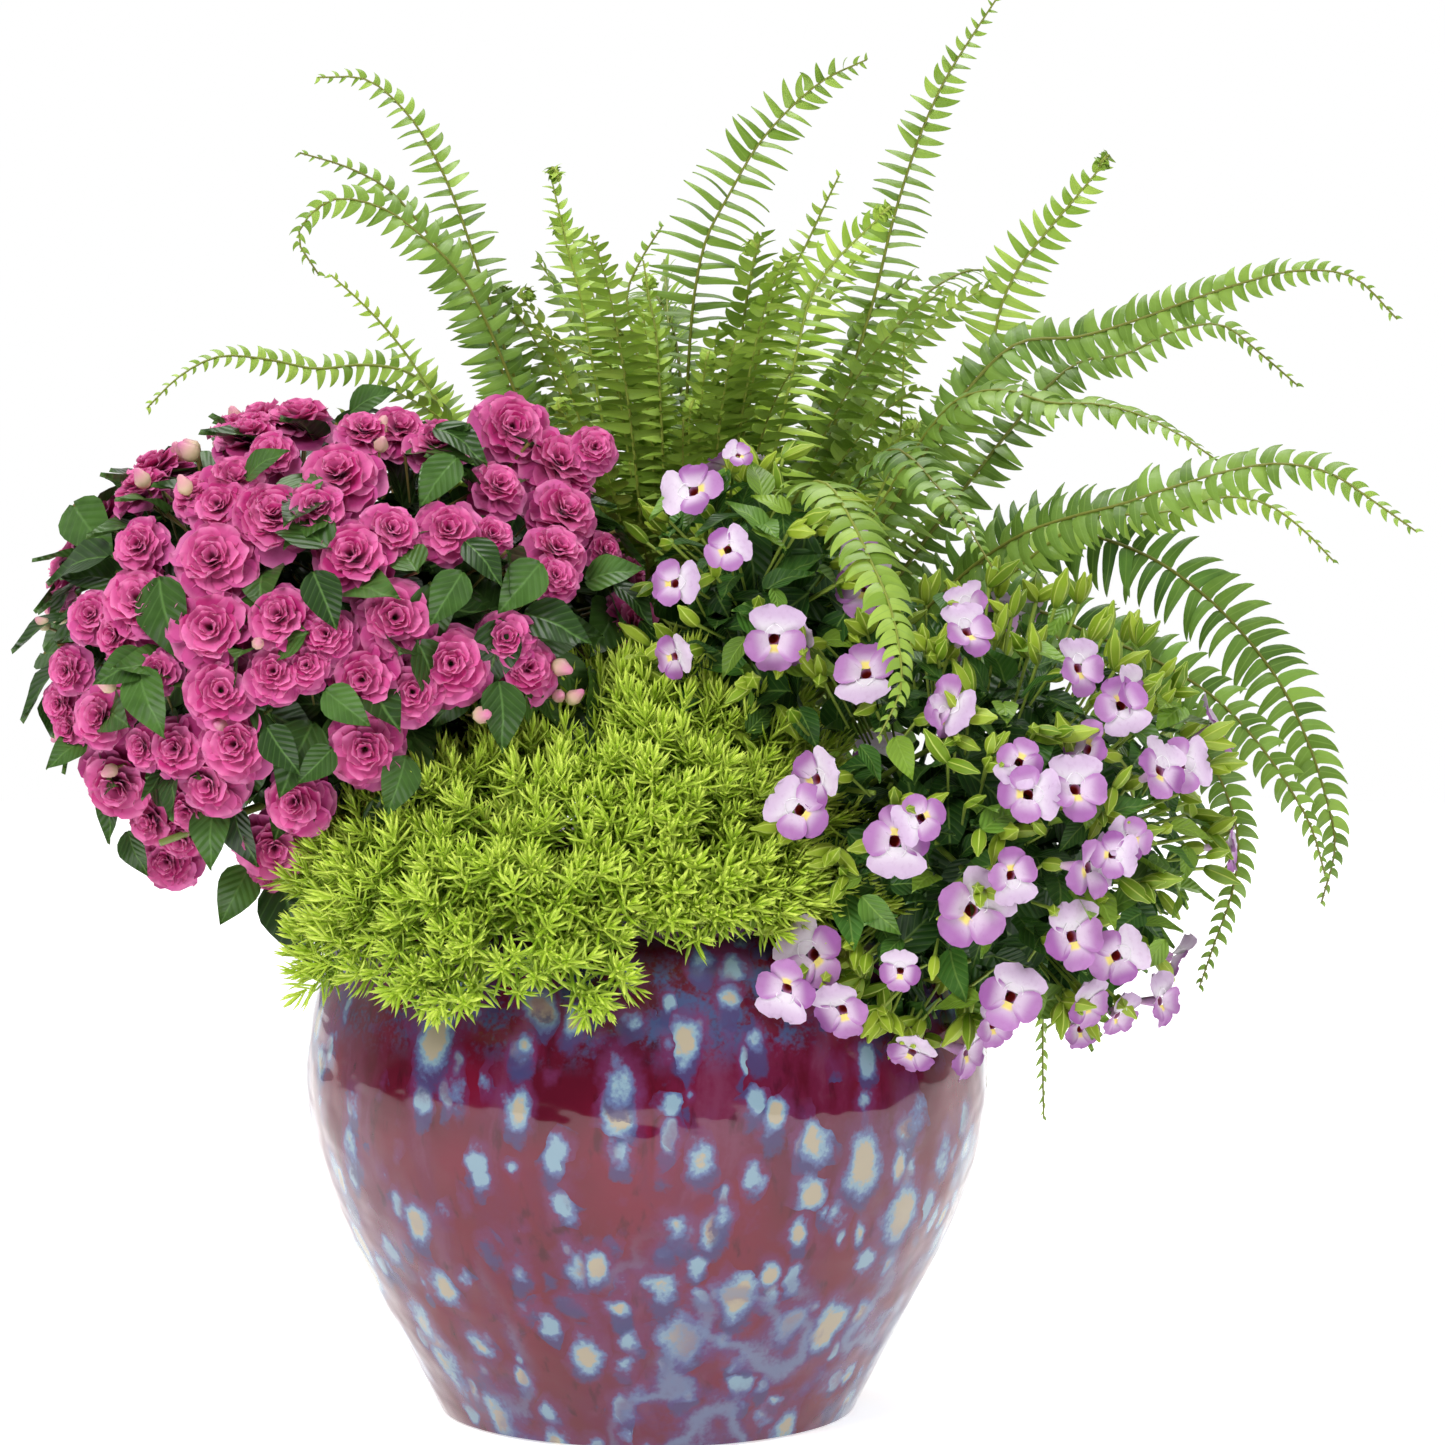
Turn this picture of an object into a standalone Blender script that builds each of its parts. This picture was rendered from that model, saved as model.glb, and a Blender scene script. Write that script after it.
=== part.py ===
"""A glazed pot planted with a sword fern, double impatiens, torenia and golden sedum."""
import math

import bpy
from mathutils import Vector
from mathutils.bvhtree import BVHTree

# Pot, turned about the Z axis (metres)
FOOT_RADIUS = 0.105
BELLY_RADIUS = 0.170
BELLY_HEIGHT = 0.165
NECK_RADIUS = 0.136
NECK_HEIGHT = 0.256
RIM_HEIGHT = 0.276
RIM_FLARE = 0.003
POT_WALL = 0.010
POT_FLOOR = 0.014
POT_SIDES = 48
PROFILE_STEPS = 6           # rings in the belly's curve, and again in the shoulder's
FOOT_BEVEL = 0.003
FOOT_LEAN = 0.45            # how fast the wall leans out above the foot
BELLY_EASE = 0.002          # how nearly upright the wall meets the belly
SHOULDER_POWER = 1.3        # above 1 the shoulder falls in sooner
LIP_DROP = 0.003            # height of the rim's rounded edge
LIP_ROUND = 0.002
LIP_WIDTH = 0.009           # flat top of the rim, from its outer edge
LIP_INNER_DROP = 0.004
FLOOR_COVE = 0.008          # where the inner wall rounds into the floor

# Drain holes, off the middle so the foot stays solid on the axis
DRAIN_COUNT = 3
DRAIN_RADIUS = 0.008
DRAIN_RING_RADIUS = 0.045
DRAIN_SIDES = 24
DRAIN_START = 0.25          # first hole, as a share of a turn, half a facet aside

# Soil
SOIL_BELOW_RIM = 0.024
SOIL_EDGE = 0.002           # rings of the wall closer than this to the soil's top are left out
FIT_GAP = 0.0005            # clearance between pieces that touch

# Fern
CROWN_PLACE = (0.12, 0.48)  # share of the neck radius, right and back
CROWN_RADIUS = 0.034
CROWN_HEIGHT = 0.022
CROWN_FOOT = 0.995          # the dome draws in a little where it meets the soil
CROWN_SIDES = 20
CROWN_STEPS = 5
CROWN_LEAST_RISE = 0.15     # a frond that leaves nearly level still points up this much
FROND_RINGS = 18
PETIOLE_RADIUS = 0.0016
BLADE_THICKNESS = 0.0016
BLADE_FOLD = 0.18           # how far the edges rise, as a share of the half width
PETIOLE_SHARE = 0.16        # stalk below the first leaflets
LAUNCH_LIFT = 0.5           # how much steeper than its first point a frond leaves the crown
FERN_SCALE = 1.0
PATH_STEPS = 24             # fine steps between two points of a frond's path
BLADE_START = 0.45          # width at the first leaflets, against the half width
BLADE_GROWTH = 2.6          # how fast the blade reaches its full width
TAPER_POWER = 2.6
TAPER_SOFTNESS = 0.9
TIP_SHARE = 0.8             # thickness of the tip, against the stalk

# Mounds of flowering shoots
STEM_RADIUS = 0.0028
STEM_END = 1.15             # the stem's last ring, as a share of the head's reach
HEAD_SIDES = 10
HEAD_RINGS = 7
STEM_RINGS = 6
STEM_SAMPLES = 12
STEM_ARCH = 0.055           # how far above the rim a stem bends on its way out
STEM_TURN = 0.35            # where along its way a stem bends over
ROOT_SHARE = 0.2            # how close the stems stand at the soil, against the heads
SHOOT_GAP = 0.0015          # least space between neighbouring heads

# Each frond: half width of its blade, how far the blade rolls about its midrib (degrees),
# then the points it passes up to its tip, right, back and up from the crown (metres).
FRONDS = [
    # left side, tall and arching
    (0.022, -60, (-0.090, -0.010, 0.270), (-0.135, -0.015, 0.335), (-0.175, -0.020, 0.348),
     (-0.192, -0.025, 0.325), (-0.180, -0.030, 0.312)),
    (0.020, -50, (-0.090, 0.050, 0.255), (-0.145, 0.070, 0.345), (-0.195, 0.075, 0.368)),
    (0.022, -60, (-0.095, 0.020, 0.290), (-0.125, 0.025, 0.370), (-0.155, 0.025, 0.405),
     (-0.182, 0.015, 0.408)),
    (0.016, -60, (-0.115, 0.070, 0.220), (-0.150, 0.085, 0.275), (-0.180, 0.085, 0.305)),
    (0.015, -60, (-0.130, 0.090, 0.235), (-0.195, 0.090, 0.255), (-0.250, 0.070, 0.262),
     (-0.278, 0.045, 0.238)),
    (0.018, -60, (-0.045, 0.000, 0.270), (-0.055, 0.005, 0.315), (-0.065, 0.000, 0.360)),
    (0.014, -40, (-0.030, -0.030, 0.250), (-0.045, -0.040, 0.270), (-0.070, -0.045, 0.285)),
    # middle, upright
    (0.030, 60, (0.005, 0.000, 0.280), (0.027, 0.000, 0.355), (0.062, -0.010, 0.400),
     (0.094, -0.025, 0.418)),
    (0.022, -30, (-0.020, 0.055, 0.245), (-0.028, 0.075, 0.295), (-0.010, 0.080, 0.330)),
    (0.014, -70, (-0.010, -0.045, 0.255), (-0.015, -0.055, 0.300), (-0.018, -0.055, 0.320)),
    (0.022, 60, (0.045, 0.030, 0.270), (0.060, 0.035, 0.315), (0.080, 0.035, 0.358)),
    (0.024, 55, (0.055, -0.040, 0.260), (0.070, -0.050, 0.310), (0.102, -0.065, 0.345)),
    (0.022, 60, (0.090, 0.030, 0.270), (0.110, 0.035, 0.345), (0.130, 0.030, 0.400),
     (0.160, 0.010, 0.450)),
    (0.016, 40, (0.100, -0.005, 0.200), (0.110, -0.010, 0.240), (0.112, -0.010, 0.280)),
    (0.022, 45, (0.150, 0.045, 0.250), (0.165, 0.050, 0.300), (0.215, 0.040, 0.365)),
    # right side, arching
    (0.019, 60, (0.145, 0.015, 0.250), (0.215, 0.015, 0.280), (0.295, -0.015, 0.310),
     (0.330, -0.035, 0.310), (0.355, -0.045, 0.290)),
    (0.019, 50, (0.175, 0.065, 0.235), (0.230, 0.085, 0.265), (0.275, 0.085, 0.280),
     (0.315, 0.065, 0.250)),
    (0.024, 20, (0.125, -0.035, 0.235), (0.185, -0.055, 0.250), (0.230, -0.075, 0.245),
     (0.265, -0.095, 0.225)),
    (0.024, 50, (0.140, -0.065, 0.165), (0.220, -0.105, 0.205), (0.300, -0.125, 0.225),
     (0.355, -0.155, 0.195)),
    (0.018, 50, (0.185, -0.005, 0.175), (0.240, -0.015, 0.190), (0.285, -0.025, 0.200),
     (0.325, -0.045, 0.170)),
    (0.026, 65, (0.155, 0.015, 0.165), (0.230, 0.005, 0.170), (0.295, -0.025, 0.115),
     (0.325, -0.055, 0.040), (0.320, -0.055, 0.000)),
    (0.024, 60, (0.140, -0.035, 0.140), (0.205, -0.065, 0.135), (0.265, -0.085, 0.105),
     (0.305, -0.095, 0.055), (0.318, -0.095, 0.020)),
    (0.012, 50, (0.205, 0.045, 0.120), (0.260, 0.045, 0.075), (0.285, 0.035, 0.015),
     (0.265, 0.025, -0.055)),
    (0.012, 40, (0.175, 0.085, 0.120), (0.225, 0.090, 0.060), (0.245, 0.080, -0.025)),
    (0.012, 30, (0.145, 0.125, 0.085), (0.185, 0.140, 0.005), (0.190, 0.120, -0.140)),
    # front, over the flowers
    (0.024, 0, (0.030, -0.120, 0.225), (0.055, -0.185, 0.205), (0.065, -0.225, 0.160),
     (0.055, -0.230, 0.130)),
    (0.022, 20, (0.090, -0.085, 0.215), (0.125, -0.135, 0.215), (0.150, -0.180, 0.180)),
    # back, arching out and down behind the pot
    (0.026, -15, (-0.100, 0.095, 0.200), (-0.180, 0.160, 0.200), (-0.240, 0.200, 0.110)),
    (0.028, -10, (-0.050, 0.100, 0.210), (-0.105, 0.190, 0.225), (-0.145, 0.250, 0.130)),
    (0.026, 0, (0.000, 0.100, 0.240), (-0.015, 0.170, 0.290), (-0.030, 0.240, 0.270)),
    (0.028, 10, (0.010, 0.120, 0.150), (0.000, 0.200, 0.120), (-0.010, 0.225, -0.030)),
    (0.026, 10, (0.060, 0.105, 0.190), (0.095, 0.190, 0.200), (0.115, 0.250, 0.110)),
    (0.024, 15, (0.090, 0.090, 0.240), (0.140, 0.150, 0.300), (0.185, 0.200, 0.295)),
    (0.026, 10, (0.100, 0.120, 0.140), (0.170, 0.195, 0.110), (0.205, 0.220, -0.010)),
    (0.024, -10, (-0.085, 0.120, 0.120), (-0.145, 0.190, 0.070), (-0.165, 0.210, -0.070)),
]
NUDGE_STEP = 1.5            # degrees a frond moves at each try to clear its neighbours
NUDGE_TRIES = 9

# Shoots of each plant: where they leave the soil, as a share of the neck radius, and
# where the middle of each head is, from the middle of the pot's rim (metres).
IMPATIENS_ROOT = (-0.48, -0.16)
IMPATIENS_HEADS = [
    (-0.255, -0.030, 0.080), (-0.235, -0.090, 0.020), (-0.170, -0.135, 0.065),
    (-0.195, -0.050, 0.155), (-0.110, -0.115, 0.145), (-0.110, -0.035, 0.190),
    (-0.040, -0.075, 0.120), (-0.025, -0.020, 0.180), (-0.185, 0.035, 0.085),
]
IMPATIENS_HEAD_RADIUS = 0.048
TORENIA_ROOT = (0.48, -0.22)
TORENIA_HEADS = [
    (0.110, -0.135, 0.050), (0.170, -0.155, 0.000), (0.225, -0.090, -0.025),
    (0.238, -0.020, 0.040), (0.180, -0.080, 0.085), (0.120, -0.065, 0.135),
    (0.050, -0.090, 0.140), (0.030, -0.050, 0.200),
]
TORENIA_HEAD_RADIUS = 0.045
SEDUM_ROOT = (-0.10, -0.50)
SEDUM_HEADS = [
    (-0.088, -0.112, 0.036), (-0.032, -0.124, 0.036), (0.028, -0.122, 0.036),
    (-0.012, -0.076, 0.066), (-0.068, -0.074, 0.058),
]
SEDUM_HEAD_RADIUS = 0.034
SEDUM_SQUASH = 0.8          # length of a head, against its width
FLOWER_SQUASH = 0.95
SHARP_ANGLE = 50            # degrees, above which an edge is shown sharp

SOIL_TOP = RIM_HEIGHT - SOIL_BELOW_RIM
CROWN_MIDDLE = Vector((CROWN_PLACE[0] * NECK_RADIUS, CROWN_PLACE[1] * NECK_RADIUS,
                       SOIL_TOP + FIT_GAP))


def clear_scene():
    for obj in list(bpy.data.objects):
        bpy.data.objects.remove(obj, do_unlink=True)


def make_material(name, colour, roughness):
    material = bpy.data.materials.new(name)
    material.use_nodes = True
    shader = material.node_tree.nodes["Principled BSDF"]
    shader.inputs["Base Color"].default_value = (*colour, 1.0)
    shader.inputs["Roughness"].default_value = roughness
    return material


def add_object(name, vertices, faces, material):
    mesh = bpy.data.meshes.new(name)
    mesh.from_pydata([tuple(v) for v in vertices], [], faces)
    mesh.validate()
    obj = bpy.data.objects.new(name, mesh)
    bpy.context.collection.objects.link(obj)
    mesh.materials.append(material)
    mesh.shade_smooth()
    mesh.set_sharp_from_angle(angle=math.radians(SHARP_ANGLE))
    return obj


def bezier(points, t):
    a, b, c, d = points
    s = 1 - t
    return tuple(s ** 3 * p + 3 * s * s * t * q + 3 * s * t * t * r + t ** 3 * u
                 for p, q, r, u in zip(a, b, c, d))


def turned(profile, sides):
    """A closed profile of (radius, height), going up the outer side and down the inner."""
    vertices = []
    for radius, height in profile:
        if radius == 0:
            vertices.append((0.0, 0.0, height))
            continue
        for side in range(sides):
            angle = 2 * math.pi * side / sides
            vertices.append((radius * math.cos(angle), radius * math.sin(angle), height))
    rings = []
    start = 0
    for radius, height in profile:
        count = 1 if radius == 0 else sides
        rings.append(range(start, start + count))
        start += count
    faces = []
    for low, high in zip(rings, rings[1:]):
        for side in range(sides):
            after = (side + 1) % sides
            if len(low) == 1:
                faces.append((low[0], high[after], high[side]))
            elif len(high) == 1:
                faces.append((low[side], low[after], high[0]))
            else:
                faces.append((low[side], low[after], high[after], high[side]))
    return vertices, faces


def pot_outer():
    """The outside from the foot to the rim's edge."""
    points = [(FOOT_RADIUS - FOOT_BEVEL, 0.0), (FOOT_RADIUS, FOOT_BEVEL)]
    rise = BELLY_HEIGHT / 3
    wall = ((FOOT_RADIUS, FOOT_BEVEL), (FOOT_RADIUS + FOOT_LEAN * rise, rise),
            (BELLY_RADIUS - BELLY_EASE, 2 * rise), (BELLY_RADIUS, BELLY_HEIGHT))
    points += [bezier(wall, step / PROFILE_STEPS) for step in range(1, PROFILE_STEPS + 1)]
    for step in range(1, PROFILE_STEPS + 1):
        angle = step / PROFILE_STEPS * math.pi / 2
        draw_in = math.cos(angle) ** SHOULDER_POWER
        points.append((NECK_RADIUS + (BELLY_RADIUS - NECK_RADIUS) * draw_in,
                       BELLY_HEIGHT + (NECK_HEIGHT - BELLY_HEIGHT) * math.sin(angle)))
    middle = (NECK_HEIGHT + RIM_HEIGHT) / 2
    points.append((NECK_RADIUS - RIM_FLARE / 3, middle))
    points.append((NECK_RADIUS + RIM_FLARE, RIM_HEIGHT - LIP_DROP))
    points.append((NECK_RADIUS + RIM_FLARE - LIP_ROUND, RIM_HEIGHT))
    return points


def pot_inner(inset):
    """The inside from the rim down to the floor, moved in by a gap."""
    points = []
    for radius, height in reversed(pot_outer()[2:-3]):
        if height > POT_FLOOR + inset + FLOOR_COVE / 2:
            points.append((radius - POT_WALL - inset, height))
    points.append((points[-1][0] - FLOOR_COVE, POT_FLOOR + inset))
    return points


def build_pot(material):
    lip = [(NECK_RADIUS + RIM_FLARE - LIP_WIDTH, RIM_HEIGHT),
           (NECK_RADIUS - POT_WALL, RIM_HEIGHT - LIP_INNER_DROP)]
    profile = [(0, 0.0)] + pot_outer() + lip + pot_inner(0) + [(0, POT_FLOOR)]
    vertices, faces = turned(profile, POT_SIDES)
    pot = add_object("pot", vertices, faces, material)
    for hole in range(DRAIN_COUNT):
        angle = 2 * math.pi * (hole / DRAIN_COUNT + DRAIN_START + 0.5 / POT_SIDES)
        bpy.ops.mesh.primitive_cylinder_add(
            vertices=DRAIN_SIDES, radius=DRAIN_RADIUS, depth=4 * POT_FLOOR,
            location=(DRAIN_RING_RADIUS * math.cos(angle), DRAIN_RING_RADIUS * math.sin(angle), 0))
        cutter = bpy.context.object
        cutter.name = f"drain_cutter_{hole + 1}"
        cutter.hide_render = True
        cutter.display_type = "WIRE"
        cut = pot.modifiers.new(f"drain_{hole + 1}", "BOOLEAN")
        cut.operation = "DIFFERENCE"
        cut.solver = "EXACT"
        cut.object = cutter
    return pot


def build_soil(material):
    level = SOIL_TOP - SOIL_EDGE
    wall = [point for point in pot_inner(FIT_GAP) if point[1] < level]
    above = [point for point in pot_inner(FIT_GAP) if point[1] >= level]
    top_radius = above[-1][0] if above else NECK_RADIUS - POT_WALL - FIT_GAP
    profile = [(0, POT_FLOOR + FIT_GAP)] + wall[::-1]
    profile += [(top_radius, SOIL_TOP), (0, SOIL_TOP)]
    vertices, faces = turned(profile, POT_SIDES)
    return add_object("potting_soil", vertices, faces, material)


def build_crown(material):
    """A low dome on the soil, from which every frond leaves square to the surface."""
    profile = [(0, 0.0), (CROWN_RADIUS * CROWN_FOOT, 0.0)]
    for step in range(1, CROWN_STEPS):
        angle = step / CROWN_STEPS * math.pi / 2
        profile.append((CROWN_RADIUS * math.cos(angle), CROWN_HEIGHT * math.sin(angle)))
    profile.append((0, CROWN_HEIGHT))
    vertices, faces = turned(profile, CROWN_SIDES)
    vertices = [Vector(v) + CROWN_MIDDLE for v in vertices]
    return add_object("fern_crown", vertices, faces, material)


def crown_exit(direction):
    """The point just outside the crown where its surface faces the direction."""
    normal = direction.normalized()
    normal.z = max(normal.z, CROWN_LEAST_RISE)
    normal.normalize()
    scale = math.sqrt((CROWN_RADIUS * normal.x) ** 2 + (CROWN_RADIUS * normal.y) ** 2
                      + (CROWN_HEIGHT * normal.z) ** 2)
    surface = Vector((CROWN_RADIUS ** 2 * normal.x, CROWN_RADIUS ** 2 * normal.y,
                      CROWN_HEIGHT ** 2 * normal.z)) / scale
    return CROWN_MIDDLE + surface + normal * FIT_GAP * 2, normal


def smooth_path(points, start_direction, count):
    """Evenly stepped points on a smooth curve that passes the given points."""
    reach = (points[1] - points[0]).length
    ends = [points[0] - start_direction * reach] + points + [2 * points[-1] - points[-2]]
    fine = []
    for a, b, c, d in zip(ends, ends[1:], ends[2:], ends[3:]):
        for step in range(PATH_STEPS):
            t = step / PATH_STEPS
            fine.append(0.5 * (2 * b + (c - a) * t + (2 * a - 5 * b + 4 * c - d) * t * t
                               + (3 * b - a - 3 * c + d) * t ** 3))
    fine.append(points[-1])
    lengths = [0.0]
    for a, b in zip(fine, fine[1:]):
        lengths.append(lengths[-1] + (b - a).length)
    even = []
    place = 0
    for step in range(count):
        goal = lengths[-1] * step / (count - 1)
        while place < len(lengths) - 2 and lengths[place + 1] < goal:
            place += 1
        share = (goal - lengths[place]) / max(lengths[place + 1] - lengths[place], 1e-9)
        even.append(fine[place].lerp(fine[place + 1], min(share, 1.0)))
    return even


def loft(path, rings, side):
    """Joins a ring of (across, upward) points at each step of the path into a closed body."""
    vertices = []
    for index, (point, ring) in enumerate(zip(path, rings)):
        before = path[max(index - 1, 0)]
        after = path[min(index + 1, len(path) - 1)]
        along = (after - before).normalized()
        across = (side - along * side.dot(along)).normalized()
        upward = along.cross(across)
        for x, y in ring:
            vertices.append(point + across * x + upward * y)
    count = len(rings[0])
    faces = [tuple(reversed(range(count)))]
    for index in range(len(path) - 1):
        low = index * count
        for corner in range(count):
            after = (corner + 1) % count
            faces.append((low + corner, low + after, low + count + after, low + count + corner))
    faces.append(tuple(range(len(vertices) - count, len(vertices))))
    return vertices, faces


def blade_ring(half_width, roll):
    """A thin folded section: edges raised, midrib thicker, running anticlockwise."""
    half = BLADE_THICKNESS / 2
    lift = BLADE_FOLD * half_width
    if half_width <= PETIOLE_RADIUS:
        half = half_width
        lift = 0
    turn = math.radians(roll)
    flat = [(half_width, lift), (0, half), (-half_width, lift), (0, -half)]
    return [(x * math.cos(turn) - y * math.sin(turn), x * math.sin(turn) + y * math.cos(turn))
            for x, y in flat]


def frond_width(share, half_width):
    """Lance-shaped: narrow stalk, widest a third of the way up, tapering to the tip."""
    if share < PETIOLE_SHARE:
        return PETIOLE_RADIUS
    t = (share - PETIOLE_SHARE) / (1 - PETIOLE_SHARE)
    taper = (1 - t ** TAPER_POWER) ** TAPER_SOFTNESS
    shape = min(1.0, BLADE_START + BLADE_GROWTH * t) * taper
    return max(half_width * shape, PETIOLE_RADIUS * TIP_SHARE)


def frond_mesh(row, turn, lift):
    half_width, roll = row[:2]
    points = []
    for spot in row[2:]:
        offset = Vector(spot) * FERN_SCALE
        reach = offset.length
        bearing = math.atan2(offset.y, offset.x) + math.radians(turn)
        climb = math.atan2(offset.z, math.hypot(offset.x, offset.y)) + math.radians(lift)
        points.append(CROWN_MIDDLE + Vector((reach * math.cos(climb) * math.cos(bearing),
                                             reach * math.cos(climb) * math.sin(bearing),
                                             reach * math.sin(climb))))
    launch = (points[0] - CROWN_MIDDLE).normalized()
    start, normal = crown_exit(launch + Vector((0, 0, LAUNCH_LIFT)))
    path = smooth_path([start] + points, normal, FROND_RINGS)
    out = points[-1] - start
    side = Vector((-out.y, out.x, 0)).normalized()
    rings = [blade_ring(frond_width(index / (FROND_RINGS - 1), half_width), roll)
             for index in range(FROND_RINGS)]
    return loft(path, rings, side)


def tree_of(vertices, faces):
    triangles = []
    for face in faces:
        for index in range(1, len(face) - 1):
            triangles.append((face[0], face[index], face[index + 1]))
    return BVHTree.FromPolygons([tuple(v) for v in vertices], triangles)


def nudges():
    """Turns aside and tilts up, in degrees, from the least to the most."""
    steps = range(-NUDGE_TRIES, NUDGE_TRIES + 1)
    pairs = [(turn * NUDGE_STEP, lift * NUDGE_STEP) for turn in steps for lift in steps]
    return sorted(pairs, key=lambda pair: (math.hypot(pair[0], 2 * pair[1]), pair))


def build_fronds(material, standing):
    """Each frond is turned aside or tilted a little until it clears what already stands."""
    for number, row in enumerate(FRONDS, start=1):
        best = None
        for turn, lift in nudges():
            vertices, faces = frond_mesh(row, turn, lift)
            tree = tree_of(vertices, faces)
            hits = sum(1 for other in standing if tree.overlap(other))
            if best is None or hits < best[0]:
                best = (hits, vertices, faces, tree)
            if hits == 0:
                break
        _, vertices, faces, tree = best
        standing.append(tree)
        add_object(f"fern_frond_{number:02d}", vertices, faces, material)


def plant_routes(root_place, heads):
    """Each shoot's root, control point and head middle. The roots are laid out as the heads
    are, only closer, so no stems cross, and a stem that leaves the pot arches over its rim."""
    plant = Vector((root_place[0] * NECK_RADIUS, root_place[1] * NECK_RADIUS,
                    SOIL_TOP + FIT_GAP + STEM_RADIUS))
    middles = [Vector(spot) + Vector((0, 0, RIM_HEIGHT)) for spot in heads]
    centre = sum(middles, Vector()) / len(middles)
    routes = []
    for middle in middles:
        root = plant + Vector((middle.x - centre.x, middle.y - centre.y, 0)) * ROOT_SHARE
        control = root.lerp(middle, STEM_TURN)
        if math.hypot(middle.x, middle.y) > NECK_RADIUS:
            control.z = max(control.z, RIM_HEIGHT + STEM_ARCH)
        routes.append((root, control, middle))
    return routes


def stem_point(route, t):
    root, control, middle = route
    return root * (1 - t) ** 2 + control * 2 * t * (1 - t) + middle * t * t


def head_radius(route, others, limit):
    """The largest head that stays clear of the other heads, their stems and the pot's rim."""
    middle = route[2]
    room = limit
    for other in others:
        room = min(room, (middle - other[2]).length / 2 - SHOOT_GAP)
        for step in range(STEM_SAMPLES + 1):
            stem = stem_point(other, step / STEM_SAMPLES)
            room = min(room, (middle - stem).length - STEM_RADIUS - SHOOT_GAP)
    rim = Vector((middle.x, middle.y, 0)).normalized() * (NECK_RADIUS + RIM_FLARE)
    rim.z = RIM_HEIGHT
    return min(room, (middle - rim).length - SHOOT_GAP)


def shoot_mesh(route, radius, squash):
    """One shoot: a stem that swells into a leafy head."""
    middle = route[2]
    reach = radius * squash
    path = []
    for step in range(STEM_RINGS):
        point = stem_point(route, step / STEM_RINGS)
        if (point - middle).length > reach * STEM_END:
            path.append(point)
    sizes = [STEM_RADIUS] * len(path)
    along = (middle - route[1]).normalized()
    for step in range(HEAD_RINGS):
        angle = math.pi * (step + 0.5) / HEAD_RINGS
        path.append(middle - along * reach * math.cos(angle))
        sizes.append(radius * math.sin(angle))
    corners = [2 * math.pi * corner / HEAD_SIDES for corner in range(HEAD_SIDES)]
    rings = [[(size * math.cos(corner), size * math.sin(corner)) for corner in corners]
             for size in sizes]
    out = middle - route[0]
    side = Vector((-out.y, out.x, 0)).normalized()
    return loft(path, rings, side)


def build_shoots(plants, standing):
    """Every plant's shoots, each head as big as its neighbours allow."""
    routes = [(name, number, route, limit, squash, material)
              for name, root, heads, limit, squash, material in plants
              for number, route in enumerate(plant_routes(root, heads), start=1)]
    for name, number, route, limit, squash, material in routes:
        others = [row[2] for row in routes if row[2] is not route]
        radius = head_radius(route, others, limit)
        vertices, faces = shoot_mesh(route, radius, squash)
        add_object(f"{name}_{number}", vertices, faces, material)
        standing.append(tree_of(vertices, faces))


def main():
    clear_scene()
    glaze = make_material("glazed_pot", (0.20, 0.02, 0.06), 0.12)
    earth = make_material("soil", (0.045, 0.028, 0.018), 0.95)
    crown = make_material("fern_crown", (0.10, 0.065, 0.025), 0.85)
    fern = make_material("fern_frond", (0.14, 0.30, 0.05), 0.5)
    impatiens = make_material("impatiens", (0.55, 0.03, 0.24), 0.55)
    torenia = make_material("torenia", (0.55, 0.30, 0.62), 0.5)
    sedum = make_material("sedum", (0.42, 0.62, 0.06), 0.5)
    pot = build_pot(glaze)
    build_soil(earth)
    dome = build_crown(crown)
    standing = [tree_of([v.co for v in obj.data.vertices],
                        [tuple(p.vertices) for p in obj.data.polygons]) for obj in (pot, dome)]
    build_shoots([
        ("sedum_tuft", SEDUM_ROOT, SEDUM_HEADS, SEDUM_HEAD_RADIUS, SEDUM_SQUASH, sedum),
        ("impatiens_shoot", IMPATIENS_ROOT, IMPATIENS_HEADS, IMPATIENS_HEAD_RADIUS,
         FLOWER_SQUASH, impatiens),
        ("torenia_shoot", TORENIA_ROOT, TORENIA_HEADS, TORENIA_HEAD_RADIUS, FLOWER_SQUASH,
         torenia),
    ], standing)
    build_fronds(fern, standing)


main()
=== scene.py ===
import math
import random

import bmesh
import bpy
import numpy as np
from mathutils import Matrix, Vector


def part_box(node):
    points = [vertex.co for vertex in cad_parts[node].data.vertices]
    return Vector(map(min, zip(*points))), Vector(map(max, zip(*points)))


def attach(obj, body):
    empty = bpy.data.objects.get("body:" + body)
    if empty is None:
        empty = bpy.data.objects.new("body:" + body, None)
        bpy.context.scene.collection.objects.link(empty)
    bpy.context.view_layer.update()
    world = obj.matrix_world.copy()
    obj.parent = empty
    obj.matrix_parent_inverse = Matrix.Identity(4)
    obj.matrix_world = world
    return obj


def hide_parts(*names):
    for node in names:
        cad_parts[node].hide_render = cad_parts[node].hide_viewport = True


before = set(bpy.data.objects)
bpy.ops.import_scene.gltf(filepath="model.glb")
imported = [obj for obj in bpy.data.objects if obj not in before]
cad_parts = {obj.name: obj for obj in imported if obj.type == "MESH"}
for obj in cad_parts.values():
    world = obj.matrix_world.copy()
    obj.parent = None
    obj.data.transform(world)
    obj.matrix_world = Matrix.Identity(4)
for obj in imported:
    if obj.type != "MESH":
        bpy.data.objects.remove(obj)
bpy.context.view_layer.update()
print("frame loaded:", len(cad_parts), "CAD nodes")


# ---- modelling: sheets, tubes and copies
def deselectAll():
    if bpy.context.object is not None and bpy.context.object.mode != "OBJECT":
        bpy.ops.object.mode_set(mode="OBJECT")
    bpy.ops.object.select_all(action="DESELECT")


def startEditing():
    bpy.ops.object.transform_apply(location=True, rotation=True, scale=True)
    bpy.ops.object.mode_set(mode="EDIT")
    bpy.ops.mesh.select_all(action="SELECT")


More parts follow.
